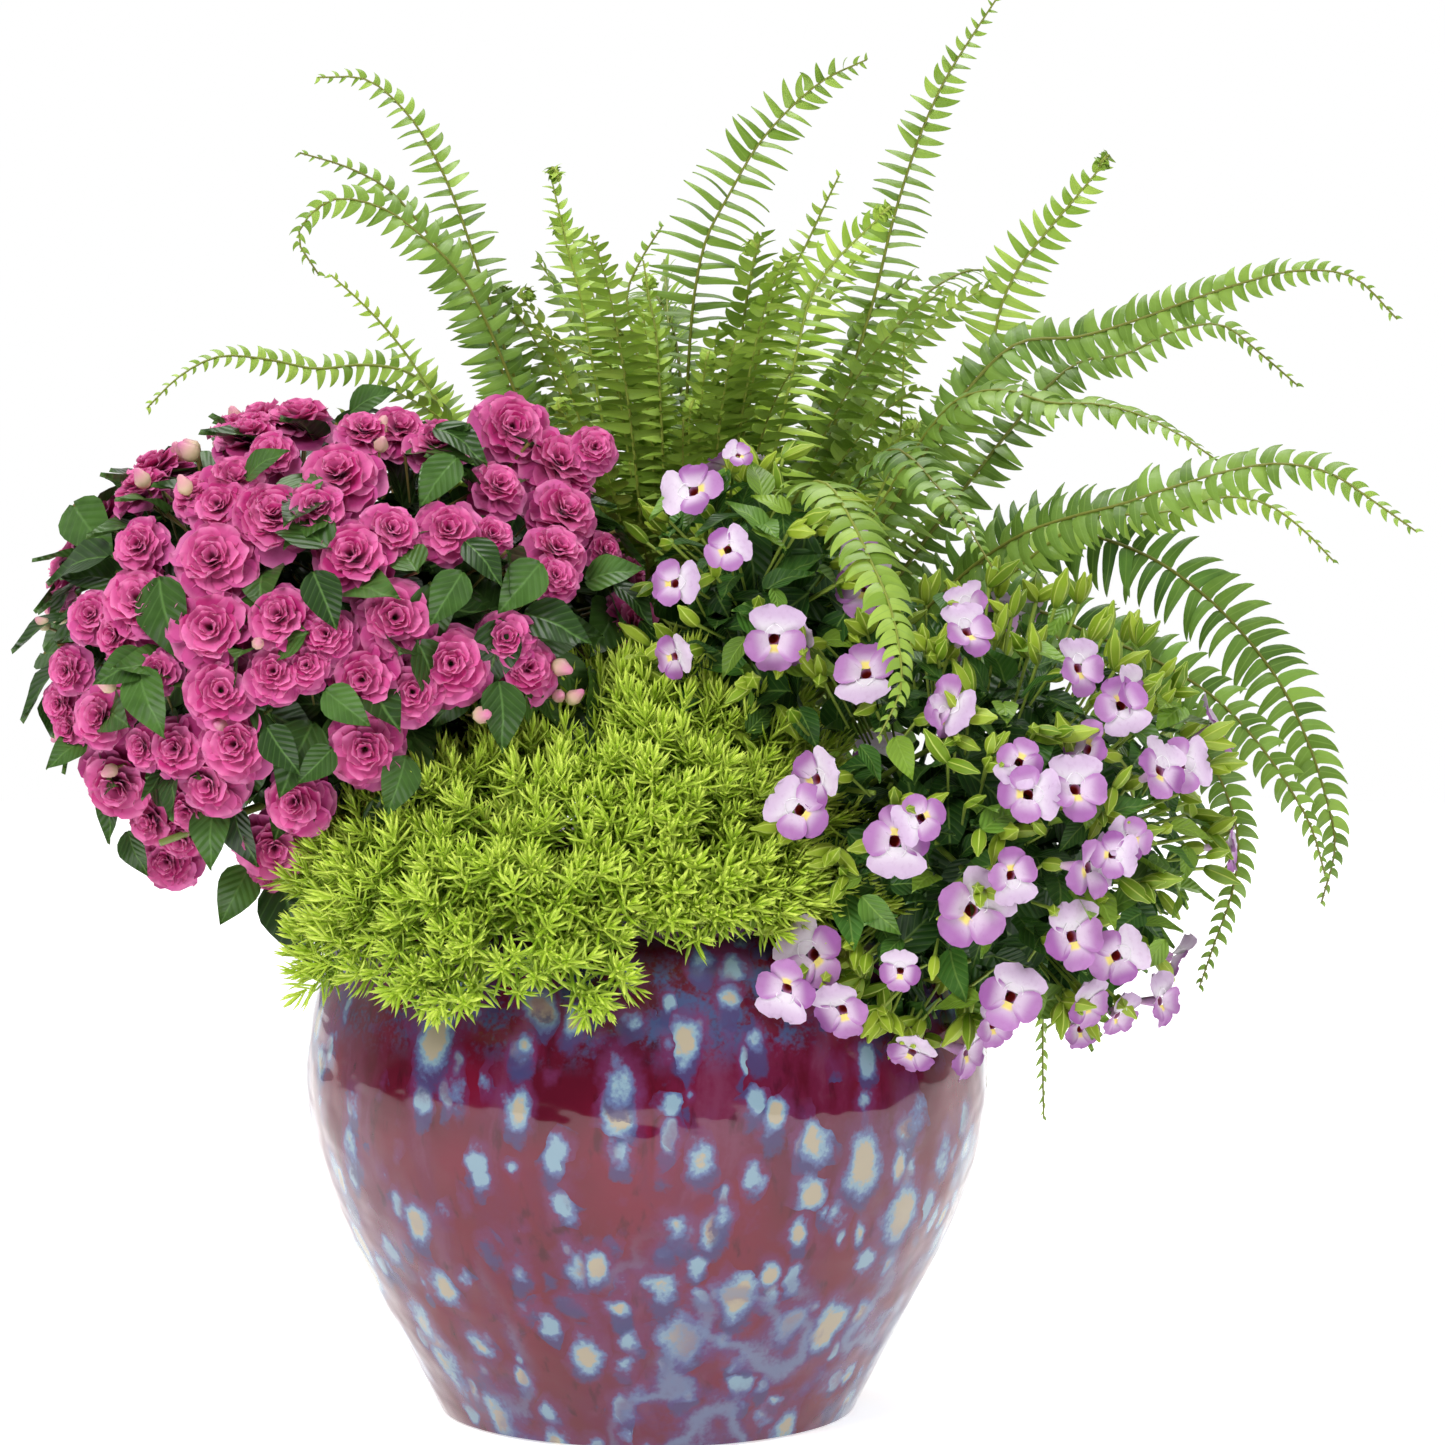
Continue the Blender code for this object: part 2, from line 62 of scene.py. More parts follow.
def endWithTriangles():
    bpy.ops.mesh.select_all(action="SELECT")
    bpy.ops.mesh.quads_convert_to_tris()
    bpy.ops.object.mode_set(mode="OBJECT")
    return bpy.context.object


def makeActive(obj):
    deselectAll()
    obj.select_set(True)
    bpy.context.view_layer.objects.active = obj


def vertsWhere(test):  # numbers of the vertices, in edit mode, whose place passes the test
    mesh = bmesh.from_edit_mesh(bpy.context.object.data)
    return [vert.index for vert in mesh.verts if test(vert.co)]


def pickVerts(numbers):
    chosen = set(numbers)
    bpy.ops.mesh.select_mode(type="VERT")
    mesh = bmesh.from_edit_mesh(bpy.context.object.data)
    for vert in mesh.verts:
        vert.select = vert.index in chosen
    mesh.select_flush_mode()
    bmesh.update_edit_mesh(bpy.context.object.data)


def pickWhere(test):
    pickVerts(vertsWhere(test))


def widen(grow, height, rise=1):  # scales what is picked about the Z axis, and upward from a height
    bpy.ops.transform.resize(value=(grow, grow, rise), center_override=(0, 0, height))


def moveUp(lift):
    bpy.ops.transform.translate(value=(0, 0, lift))


def cutLevel(height):
    bpy.ops.mesh.bisect(plane_co=(0, 0, height), plane_no=(0, 0, 1))


def growSheet(rows, folds, ruffle=0.0, waves=2):
    # a grid shaped row by row (along, width, shift, lift) and folded column by column
    columns = len(folds) - 1
    deselectAll()
    last = len(rows) - 1
    bpy.ops.mesh.primitive_grid_add(x_subdivisions=columns, y_subdivisions=last, size=1, location=(0, 0, 0))
    bpy.ops.object.mode_set(mode="EDIT")
    inRow = [vertsWhere(lambda co, n=n: abs(co.y + 0.5 - n / last) < 0.01) for n in range(last + 1)]
    inColumn = [vertsWhere(lambda co, n=n: abs(co.x + 0.5 - n / columns) < 0.01) for n in range(columns + 1)]
    for number, lift in enumerate(folds):
        pickVerts(inColumn[number])
        moveUp(lift)
    if ruffle:
        for number in range(columns + 1):  # the free edge waves up and down
            wave = ruffle * math.cos(number / columns * waves * 2 * math.pi)
            for row in (last, last - 1):
                pickVerts(set(inColumn[number]) & set(inRow[row]))
                moveUp(wave * (1 if row == last else 0.5))
    for number, (along, width, shift, lift) in enumerate(rows):
        pickVerts(inRow[number])
        bpy.ops.transform.resize(value=(max(width, 0.0001), 1, 1), center_override=(0, 0, 0))
        bpy.ops.transform.translate(value=(shift, along - number / last + 0.5, lift))
    bpy.ops.mesh.select_all(action="SELECT")
    bpy.ops.mesh.remove_doubles(threshold=0.0005)
    return endWithTriangles()


def takeShape(obj, across=1.0):  # keeps a modelled shape as numbers, for copying, and removes its object
    mesh = obj.data
    verts = np.array([v.co[:] for v in mesh.vertices])
    faces = np.array([p.vertices[:] for p in mesh.polygons])
    bpy.data.objects.remove(obj)
    return {"verts": verts, "faces": faces, "along": verts[:, 1].copy(), "side": verts[:, 0] / across,
            "tone": np.zeros(len(verts)), "kind": np.zeros(len(verts))}


def mirrored(shape):
    turned = dict(shape)
    turned["verts"] = shape["verts"] * (-1, 1, 1)
    turned["faces"] = shape["faces"][:, ::-1]
    turned["side"] = -shape["side"]
    return turned


layers = ("along", "side", "tone", "kind")


def newBunch():
    return {"verts": [], "faces": [], "count": 0, **{layer: [] for layer in layers}}


def addCopy(bunch, shape, turn, place, tone=None, kind=None):  # turn: 3 x 3, its columns are where X, Y and Z go
    verts = shape["verts"] @ np.asarray(turn).T + np.asarray(place)
    bunch["verts"].append(verts)
    bunch["faces"].append(shape["faces"] + bunch["count"])
    bunch["count"] += len(verts)
    for layer in layers:
        values = shape[layer]
        if layer == "tone" and tone is not None:
            values = np.full(len(verts), tone)
        if layer == "kind" and kind is not None:
            values = np.full(len(verts), kind)
        bunch[layer].append(values)


def asShape(bunch):
    return {name: np.concatenate(bunch[name]) for name in ("verts", "faces", *layers)}


def makePiece(name, bunch, material, nodes=()):
    shape = asShape(bunch)
    mesh = bpy.data.meshes.new(name)
    mesh.from_pydata(shape["verts"].tolist(), [], shape["faces"].tolist())
    for layer in layers:
        values = mesh.attributes.new(layer, "FLOAT", "POINT")
        values.data.foreach_set("value", shape[layer].astype(np.float32))
    mesh.shade_smooth()
    mesh.materials.append(material)
    piece = bpy.data.objects.new(name, mesh)
    bpy.context.scene.collection.objects.link(piece)
    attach(piece, "root")
    if nodes:
        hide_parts(*nodes)
    return piece


def jitter(draw, *spans):  # random leaning: a span for each axis, or a number for as much either way
    return np.array([draw.uniform(*(span if isinstance(span, tuple) else (-span, span))) for span in spans])


def unit(vector):
    vector = np.asarray(vector, float)
    return vector / max(np.linalg.norm(vector), 1e-9)


def facing(tip, upper, width=1.0, length=1.0, depth=None):  # turn for a sheet: Y to the tip, Z to the upper side
    tip = unit(tip)
    upper = unit(upper - np.dot(upper, tip) * tip)
    return np.column_stack((np.cross(tip, upper) * width, tip * length, upper * (depth or length)))


def smoothLine(points, marks):  # Catmull-Rom through the rows of points, read at marks from 0 to 1 by length
    points = np.asarray(points, float)
    ends = np.vstack((2 * points[0] - points[1], points, 2 * points[-1] - points[-2]))
    steps = np.linspace(0, 1, 9)[:-1, None]
    line = []
    for a, b, c, d in zip(ends, ends[1:], ends[2:], ends[3:]):
        line.append(0.5 * (2 * b + (c - a) * steps + (2 * a - 5 * b + 4 * c - d) * steps ** 2
                           + (3 * b - a - 3 * c + d) * steps ** 3))
    line = np.vstack(line + [points[-1:]])
    length = np.concatenate(([0], np.cumsum(np.linalg.norm(np.diff(line[:, :3], axis=0), axis=1))))
    marks = np.asarray(marks) * length[-1]
    return np.column_stack([np.interp(marks, length, column) for column in line.T]), length[-1]


def bendTube(points, radii, sides=6):  # a round stalk along the points
    curve = bpy.data.curves.new("stalk", "CURVE")
    curve.dimensions = "3D"
    curve.bevel_depth = 1.0
    curve.bevel_resolution = max((sides - 4) // 2, 0)
    curve.use_fill_caps = True
    spline = curve.splines.new("POLY")
    spline.points.add(len(points) - 1)
    for point, place, radius in zip(spline.points, points, radii):
        point.co = (*place, 1)
        point.radius = radius
    stalk = bpy.data.objects.new("stalk", curve)
    bpy.context.scene.collection.objects.link(stalk)
    makeActive(stalk)
    bpy.ops.object.convert(target="MESH")
    startEditing()
    bpy.ops.mesh.remove_doubles(threshold=0.00001)
    shape = takeShape(endWithTriangles())
    shape["along"] = np.zeros(len(shape["verts"]))
    shape["side"] = np.zeros(len(shape["verts"]))
    return shape


# ---- materials
def hexColour(code):  # sRGB code to the linear colour that the nodes take
    values = [int(code[n:n + 2], 16) / 255 for n in (0, 2, 4)]
    linear = [v / 12.92 if v <= 0.04045 else ((v + 0.055) / 1.055) ** 2.4 for v in values]
    return (*linear, 1.0)


def newMaterial(name, roughness, specular=0.5):
    material = bpy.data.materials.new(name)
    material.use_nodes = True
    shader = material.node_tree.nodes["Principled BSDF"]
    shader.inputs["Roughness"].default_value = roughness
    shader.inputs["Specular IOR Level"].default_value = specular
    return material, shader


def addNode(material, kind, **inputs):
    node = material.node_tree.nodes.new("ShaderNode" + kind)
    for name, value in inputs.items():
        if name in ("operation", "interpolation_type", "attribute_name"):
            setattr(node, name, value)
            continue
        socket = node.inputs[int(name[1:]) if name[0] == "i" else name]  # i0, i1, i2: sockets by number
        if hasattr(value, "is_output"):
            material.node_tree.links.new(value, socket)
        else:
            socket.default_value = value
    return node


def layerValue(material, name):
    return addNode(material, "Attribute", attribute_name=name).outputs["Fac"]


def placeOf(material):
    return addNode(material, "TexCoord").outputs["Object"]


def mathOf(material, operation, first, second=0.0):
    return addNode(material, "Math", operation=operation, i0=first, i1=second).outputs[0]


def rangeOf(material, value, low, high, to=(0.0, 1.0)):
    node = addNode(material, "MapRange", interpolation_type="SMOOTHSTEP", Value=value)
    for name, number in zip(("From Min", "From Max", "To Min", "To Max"), (low, high, *to)):
        node.inputs[name].default_value = number
    return node.outputs[0]


def noiseOf(material, scale, detail=3.0, vector=None, distortion=0.0):
    node = addNode(material, "TexNoise", Scale=scale, Detail=detail, Distortion=distortion)
    material.node_tree.links.new(vector or placeOf(material), node.inputs["Vector"])
    return node.outputs["Fac"]


def mixOf(material, share, first, second):
    node = material.node_tree.nodes.new("ShaderNodeMix")
    node.data_type = "RGBA"
    for socket, value in ((node.inputs[0], share), (node.inputs[6], first), (node.inputs[7], second)):
        if hasattr(value, "is_output"):
            material.node_tree.links.new(value, socket)
        elif isinstance(value, str):
            socket.default_value = hexColour(value)
        else:
            socket.default_value = value
    return node.outputs[2]


def tinted(material, colour, tint, value, low, high, to=(0.0, 1.0)):  # tinted more as the value goes low to high
    return mixOf(material, rangeOf(material, value, low, high, to), colour, tint)


def finishLeaf(material, shader, colour, through=0.25, bump=None, bumpDepth=0.0004):  # light also shows through
    tree = material.node_tree
    tree.links.new(colour, shader.inputs["Base Color"])
    glow = tree.nodes.new("ShaderNodeBsdfTranslucent")
    tree.links.new(colour, glow.inputs["Color"])
    mix = tree.nodes.new("ShaderNodeMixShader")
    mix.inputs[0].default_value = through
    tree.links.new(shader.outputs[0], mix.inputs[1])
    tree.links.new(glow.outputs[0], mix.inputs[2])
    tree.links.new(mix.outputs[0], tree.nodes["Material Output"].inputs["Surface"])
    if bump is not None:
        relief = addNode(material, "Bump", Height=bump, Distance=bumpDepth, Strength=0.6)
        tree.links.new(relief.outputs[0], shader.inputs["Normal"])


# ---- studio
studio = {
    "target": (0.0374, 0.0, 0.344), "distance": 3.5, "lookDown": 6.8, "fieldWidth": 0.7167, "sensor": 36,
    "lights": (  # name, place, width of the square, power
        ("keySoftbox", (-1.1, -1.7, 1.9), 1.3, 60),
        ("fillSoftbox", (1.7, -1.4, 1.2), 1.2, 22),
        ("topSoftbox", (0.1, 0.5, 2.3), 1.5, 30),
    ),
    "lightsAim": (0.03, 0, 0.3),
    "floorRadius": 2.4, "floorHeight": -0.0004, "floorGlow": 0.62,
    "room": (0.07, 0.50),  # strength of the room's light from below and from above
    "backdrop": 0.65,  # and from behind the pot
}


def aimAt(obj, target):
    obj.rotation_euler = (Vector(target) - obj.location).to_track_quat("-Z", "Y").to_euler()


def setStudio():
    lookDown = math.radians(studio["lookDown"])
    target = Vector(studio["target"])
    place = target + studio["distance"] * Vector((0, -math.cos(lookDown), math.sin(lookDown)))
    deselectAll()
    bpy.ops.object.camera_add(location=place)
    camera = bpy.context.object
    camera.name = "viewCamera"
    aimAt(camera, target)
    camera.data.sensor_width = studio["sensor"]
    camera.data.lens = studio["sensor"] * studio["distance"] / studio["fieldWidth"]
    camera.data.clip_end = 50
    bpy.context.scene.camera = camera
    for name, spot, size, power in studio["lights"]:
        bpy.ops.object.light_add(type="AREA", location=spot)
        light = bpy.context.object
        light.name = name
        light.data.shape = "SQUARE"
        light.data.size = size
        light.data.energy = power
        light.visible_glossy = name == "topSoftbox"  # no window shapes in the glaze
        aimAt(light, studio["lightsAim"])
    world = bpy.data.worlds.new("paleStudio")
    bpy.context.scene.world = world
    world.use_nodes = True
    world.node_tree.nodes.clear()
    split = addNode(world, "SeparateXYZ", i0=addNode(world, "TexCoord").outputs["Generated"])
    high = rangeOf(world, split.outputs["Z"], 0.22, 0.6, studio["room"])  # dim below, pale walls and ceiling
    behind = rangeOf(world, split.outputs["Y"], -0.1, 0.35, (0.0, studio["backdrop"]))
    room = addNode(world, "Background", Strength=mathOf(world, "MAXIMUM", high, behind))
    backdrop = addNode(world, "Background", Color=(1, 1, 1, 1))
    seen = addNode(world, "LightPath").outputs["Is Camera Ray"]
    mix = addNode(world, "MixShader", i0=seen, i1=room.outputs[0], i2=backdrop.outputs[0])
    addNode(world, "OutputWorld", Surface=mix.outputs[0])
    bpy.context.scene.view_settings.view_transform = "Standard"
    bpy.ops.mesh.primitive_circle_add(vertices=96, radius=studio["floorRadius"], fill_type="NGON",
                                      location=(0, 0, studio["floorHeight"]))
    floor = bpy.context.object
    floor.name = "studioFloor"
    paint, shader = newMaterial("paleFloor", 0.7, 0.2)
    shader.inputs["Base Color"].default_value = (0.9, 0.9, 0.9, 1)
    shader.inputs["Emission Color"].default_value = (1, 1, 1, 1)
    shader.inputs["Emission Strength"].default_value = studio["floorGlow"]
    floor.data.materials.append(paint)
    print("studio: camera, three softboxes, pale floor")


setStudio()


# ---- fern
fern = {
    "pitch": 0.0068,  # between leaflets of one side
    "leafWidth": 0.0066,
    "fullness": 0.38,  # 0 follows the blade, 1 keeps leaflets long almost to the tip
    "firstLeaflet": 0.13,  # share of the frond's length
    "shortestLeaflet": 0.0040,
    "heartFronds": 64,
    "middleFronds": 52,
    "curledShare": 0.3,  # of those, how many are still rolled up at the tip
    "curlRadius": 0.0042,
    "stalkRadius": 0.0013,
    "seed": 11,
}
# by frond number. bright: how young and yellow-green, up: how far leaflets turn to the light, narrow: share of leafWidth,
# wide: share of the blade's width, pitch and full: as pitch and fullness above, roll: degrees about the midrib,
# curl: the tip is still rolled up
frondLooks = {
    1: {"bright": 0.25, "up": 0.25, "narrow": 0.85, "pitch": 0.0074},
    2: {"bright": 0.15, "up": 0.3, "narrow": 0.85, "pitch": 0.0074},
    3: {"bright": 0.35, "up": 0.55, "narrow": 0.75}, 4: {"bright": 0.85, "up": 0.5, "narrow": 0.6},
    5: {"bright": 0.55, "up": 0.3, "narrow": 0.7},
    6: {"bright": 0.9, "up": 0.6, "narrow": 0.6, "curl": 1, "full": 1},
    7: {"bright": 0.9, "up": 0.5, "narrow": 0.6, "roll": -60},
    8: {"bright": 0.35, "up": 0.6, "narrow": 0.75, "roll": -42}, 9: {"bright": 0.4, "up": 0.6, "narrow": 0.6},
    10: {"bright": 0.6, "up": 0.6, "narrow": 0.6, "roll": 60}, 11: {"bright": 0.7, "up": 0.6, "narrow": 0.7},
    12: {"bright": 0.95, "up": 0.6, "narrow": 0.7, "curl": 1, "roll": -50, "full": 1},
    13: {"bright": 0.4, "up": 0.55, "narrow": 0.85, "roll": -20},
    14: {"bright": 0.85, "up": 0.55, "narrow": 0.7, "roll": -40},
    15: {"bright": 0.6, "up": 0.35, "narrow": 0.75, "curl": 1, "roll": -22, "full": 1},
    16: {"bright": 0.25, "up": 0.15}, 17: {"bright": 0.25, "up": 0.2}, 18: {"bright": 0.3, "up": 0.2},
    19: {"bright": 0.25, "up": 0.15, "pitch": 0.0076}, 20: {"bright": 0.5, "up": 0.2},
    21: {"bright": 0.1, "up": 0.1, "wide": 1.12, "pitch": 0.0082},
    22: {"bright": 0.1, "up": 0.15, "pitch": 0.0078},
    23: {"bright": 0.15, "up": 0.1, "full": 1, "wide": 1.15, "roll": -50},
    24: {"bright": 0.3, "up": 0.1, "full": 1, "roll": -40},
    25: {"bright": 0.5, "up": 0.1, "full": 1, "roll": -40}, 26: {"bright": 0.55, "up": 0.1},
    27: {"bright": 0.1, "up": 0.1},
}
otherFrond = {"bright": 0.3, "up": 0.3}


def fernMaterial():
    material, shader = newMaterial("fernLeaf", 0.38, 0.5)
    tone, bright, along, side = (layerValue(material, name) for name in ("tone", "kind", "along", "side"))
    young = mixOf(material, tone, "8CAE36", "BAD25C")
    grown = mixOf(material, tone, "2A4C1C", "5B8635")
    leaf = mixOf(material, bright, grown, young)
    patches, stalk = (mixOf(material, bright, *codes) for codes in (("193812", "6A8C28"), ("6B6A2C", "97A844")))
    leaf = tinted(material, leaf, patches, noiseOf(material, 60.0), 0.35, 0.7, (0.0, 0.35))
    leaf = tinted(material, leaf, "86A640", along, 0.55, 1.0, (0.0, 0.22))
    leaf = tinted(material, leaf, "7C9A48", mathOf(material, "ABSOLUTE", side), 0.0, 0.14, (0.5, 0.0))
    leaf = tinted(material, leaf, stalk, along, -0.5, -0.4, (1.0, 0.0))
    finishLeaf(material, shader, leaf, 0.18, noiseOf(material, 380.0, 2.0), 0.0003)
    return material


def leafletShape():
    rows = [
        (0.00, 0.34, 0.02, 0.0), (0.04, 1.08, 0.14, 0.006), (0.12, 1.16, 0.06, 0.016), (0.25, 1.02, -0.02, 0.03),
        (0.40, 0.94, -0.04, 0.035), (0.55, 0.80, -0.03, 0.02), (0.70, 0.62, 0.03, -0.02), (0.84, 0.42, 0.14, -0.08),
        (0.94, 0.22, 0.27, -0.14), (1.00, 0.00, 0.38, -0.19),
    ]
    return takeShape(growSheet(rows, (-0.03, 0.0, -0.03)), 0.5)


def readFrond(node):  # midrib, across and upper directions and half width of a CAD frond, from stalk to tip
    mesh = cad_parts[node].data
    spots = {}
    numbers = [spots.setdefault(tuple(round(c, 5) for c in vert.co), len(spots)) for vert in mesh.vertices]
    points = np.array(list(spots))
    linked = [set() for _ in points]
    for face in mesh.polygons:
        corners = [numbers[n] for n in face.vertices]
        for a in corners:
            linked[a].update(corners)
    low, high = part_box("fern_crown")
    middle = np.array((low + high) / 2)
    ring = list(np.argsort(np.linalg.norm(points - middle, axis=1))[:4])
    rings, seen = [], set()
    while ring:
        rings.append(ring)
        seen.update(ring)
        ring = sorted({n for m in ring for n in linked[m]} - seen)
    rings = [points[ring] for ring in rings if len(ring) == 4]
    pairs = [(a, b) for a in range(4) for b in range(a + 1, 4)]
    spans = [max(np.linalg.norm(ring[a] - ring[b]) for a, b in pairs) for ring in rings]
    widest = int(np.argmax(spans))
    across = [None] * len(rings)
    rib = [None] * len(rings)
    half = [0.0] * len(rings)
    order = [widest] + list(range(widest + 1, len(rings))) + list(range(widest - 1, -1, -1))
    for n in order:
        ring = rings[n]
        guide = None if n == widest else across[n - 1 if n > widest else n + 1]
        if guide is None:
            a, b = max(pairs, key=lambda p: np.linalg.norm(ring[p[0]] - ring[p[1]]))
        else:
            a, b = max(pairs, key=lambda p: abs(np.dot(unit(ring[p[0]] - ring[p[1]]), guide))
                       + 0.5 * (spans[n] > 0.008) * np.linalg.norm(ring[p[0]] - ring[p[1]]) / spans[n])
        arm = unit(ring[a] - ring[b])
        if guide is not None and np.dot(arm, guide) < 0:
            arm = -arm
        others = [m for m in range(4) if m not in (a, b)]
        across[n], half[n] = arm, np.linalg.norm(ring[a] - ring[b]) / 2
        rib[n] = (ring[others[0]] + ring[others[1]]) / 2
        if n == widest:
            upper = (ring[a] + ring[b]) / 2 - rib[n]
    rib, across = np.array(rib), np.array(across)
    along = np.gradient(rib, axis=0)
    if np.dot(np.cross(along[widest], across[widest]), upper) < 0:
        across = -across
    ups = np.cross(along, across)
    ups /= np.linalg.norm(ups, axis=1)[:, None]
    return rib, across, ups, np.array(half)


def growFrond(table, look, draw, leaflet, leafletLeft):
    _, length = smoothLine(table, [0, 1])
    bunch = newBunch()
    marks = np.linspace(0, 1, max(int(length / 0.008), 12))
    line, _ = smoothLine(table, marks)
    path = line[:, :3]
    radii = fern["stalkRadius"] * (1.15 - 0.8 * marks)
    if look.get("curl"):  # a tip still rolled up
        forward = unit(path[-1] - path[-2])
        inward = unit(line[-1, 6:9])
        turns = np.linspace(0, 2.3 * math.pi, 12)[1:]
        curl = fern["curlRadius"]
        rolled = [path[-1] + forward * curl * (1 - t / 12) * math.sin(t)
                  + inward * curl * (1 - (1 - t / 12) * math.cos(t)) for t in turns]
        path = np.vstack((path, rolled))
        radii = np.concatenate((radii, np.linspace(0.0009, 0.0012, len(rolled))))
        for spot in rolled:
            for side in (-1, 1):
                out = unit(np.cross(forward, inward) * side + forward * draw.uniform(-0.6, 0.6)
                           + inward * draw.uniform(-0.5, 0.5))
                turn = facing(out, unit(spot - path[-6]) + 0.01, 0.0028, 0.0045)
                addCopy(bunch, leaflet, turn, spot, draw.random(), look["bright"])
    stalk = bendTube(path, radii)
    stalk["along"] = np.full(len(stalk["verts"]), -1.0)
    addCopy(bunch, stalk, np.eye(3), (0, 0, 0), 0.5, look["bright"])
    pitch = look.get("pitch", fern["pitch"])
    count = int(length * 0.87 / pitch)
    widest, first = table[:, 9].max(), fern["firstLeaflet"]
    for side in (-1, 1):
        spots = np.linspace(first, 0.995, count) + (0.25 * side) * pitch / length
        spots = np.clip(spots, 0, 1)
        line, _ = smoothLine(table, spots)
        before, _ = smoothLine(table, np.clip(spots - 0.01, 0, 1))
        after, _ = smoothLine(table, np.clip(spots + 0.01, 0, 1))
        for spot, row, last, following in zip(spots, line, before, after):
            forward = unit(following[:3] - last[:3])
            out, upper, reach = row[3:6] * side, row[6:9], row[9]
            longest = widest * min(1, 0.4 + (spot - first) * 3) * (1 - 0.72 * max(0, (spot - 0.72) / 0.28) ** 1.5)
            reach += (longest - reach) * look.get("full", fern["fullness"])  # leaflets stay long almost to the tip
            size = max(reach * look.get("wide", 1.0), fern["shortestLeaflet"]) * draw.uniform(0.88, 1.06)
            lean = math.radians(draw.uniform(6, 18) + 26 * max(0, spot - 0.75) / 0.25)
            tip = out * math.cos(lean) + forward * math.sin(lean)
            tip = tip + jitter(draw, 0.16, 0.16, (-0.24, 0.05))
            skyward = look["up"] * (0.75 + 0.5 * draw.random())
            normal = upper * (1 - skyward) + np.array((0, 0, 1)) * skyward + forward * draw.uniform(-0.25, 0.35)
            width = min(fern["leafWidth"] * look.get("narrow", 1.0), size * 0.5) * draw.uniform(0.9, 1.1)
            shape = leaflet if side > 0 else leafletLeft
            bright = look["bright"] + 0.35 * max(0, spot - 0.6) / 0.4 * (1 - look["bright"])
            bright += draw.uniform(-0.06, 0.06)
            addCopy(bunch, shape, facing(tip, normal, width, size), row[:3], draw.random(), min(max(bright, 0), 1))
    return bunch


def rollBlade(table, degrees):  # turns the blade about its midrib
    cosine, sine = math.cos(math.radians(degrees)), math.sin(math.radians(degrees))
    across, upper = table[:, 3:6].copy(), table[:, 6:9].copy()
    table[:, 3:6] = across * cosine - upper * sine
    table[:, 6:9] = upper * cosine + across * sine


def smallFrond(draw, middle, rises, spreads, halves):  # a shorter frond of the heart, as the same kind of table
    heading = draw.uniform(0, 2 * math.pi)
    spread, rise = draw.uniform(*spreads) * (1.0 if math.sin(heading) > -0.3 else 0.4), draw.uniform(*rises)
    share = np.linspace(0, 1, 14)
    out = np.array((math.cos(heading), math.sin(heading), 0))
    rib = (np.array(middle) + out * 0.02 + np.outer(spread * share ** 1.6, out)
           + np.outer(rise * (share - 0.25 * share ** 3), (0, 0, 1)))
    along = np.gradient(rib, axis=0)
    side = np.cross(along, out + np.array((draw.uniform(-0.6, 0.6), -0.9, 0)))
    side /= np.linalg.norm(side, axis=1)[:, None]
    upper = np.cross(along, side)
    upper /= np.linalg.norm(upper, axis=1)[:, None]
    half = draw.uniform(*halves) * np.minimum(1, 0.35 + 2.5 * share) * (1 - 0.7 * share ** 3)
    return np.column_stack((rib, side, upper, half))


def buildFern():
    leaflet = leafletShape()
    leafletLeft = mirrored(leaflet)
    material = fernMaterial()
    numbers = sorted(int(name[-2:]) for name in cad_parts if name.startswith("fern_frond_"))
    for number in numbers:
        look = {**otherFrond, **frondLooks.get(number, {})}
        node = f"fern_frond_{number:02d}"
        table = np.column_stack(readFrond(node))
        rollBlade(table, look.get("roll", 0))
        bunch = growFrond(table, look, random.Random(fern["seed"] + number), leaflet, leafletLeft)
        makePiece(f"frond_{number:02d}", bunch, material, [node])
    low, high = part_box("fern_crown")
    draw = random.Random(fern["seed"])
    kinds = (  # name, rise, spread, half width, brightest
        ("heartFronds", (0.10, 0.24), (0.04, 0.15), (0.012, 0.020), 0.8),
        ("middleFronds", (0.26, 0.44), (0.03, 0.16), (0.018, 0.028), 0.95),
    )
    for name, rises, spreads, halves, brightest in kinds:
        for group in range(2):
            heart = newBunch()
            for _ in range(fern[name] // 2):
                look = {"bright": draw.uniform(0.35, brightest), "up": 0.35, "narrow": 0.85,
                        "curl": draw.random() < fern["curledShare"]}
                small = smallFrond(draw, (low + high) / 2, rises, spreads, halves)
                part = asShape(growFrond(small, look, draw, leaflet, leafletLeft))
                addCopy(heart, part, np.eye(3), (0, 0, 0))
            makePiece(f"{name}_{group + 1}", heart, material)
    print("fern:", len(numbers), "long fronds,", fern["middleFronds"], "middling,", fern["heartFronds"], "short")


buildFern()


# ---- glazed pot
pot = {
    "footRadius": 0.105, "bellyRadius": 0.170, "bellyHeight": 0.165, "neckRadius": 0.136, "neckHeight": 0.256,
    "rimHeight": 0.276, "rimFlare": 0.003, "wall": 0.010, "floor": 0.014, "sides": 144,
    "drains": 3, "drainRadius": 0.008, "drainRing": 0.045, "drainStart": 0.25 + 0.5 / 48,  # of a whole turn
    "innerRing": 0.020, "throwingMarks": 0.0022, "hair": 0.0002,  # hair: how near counts as level
}


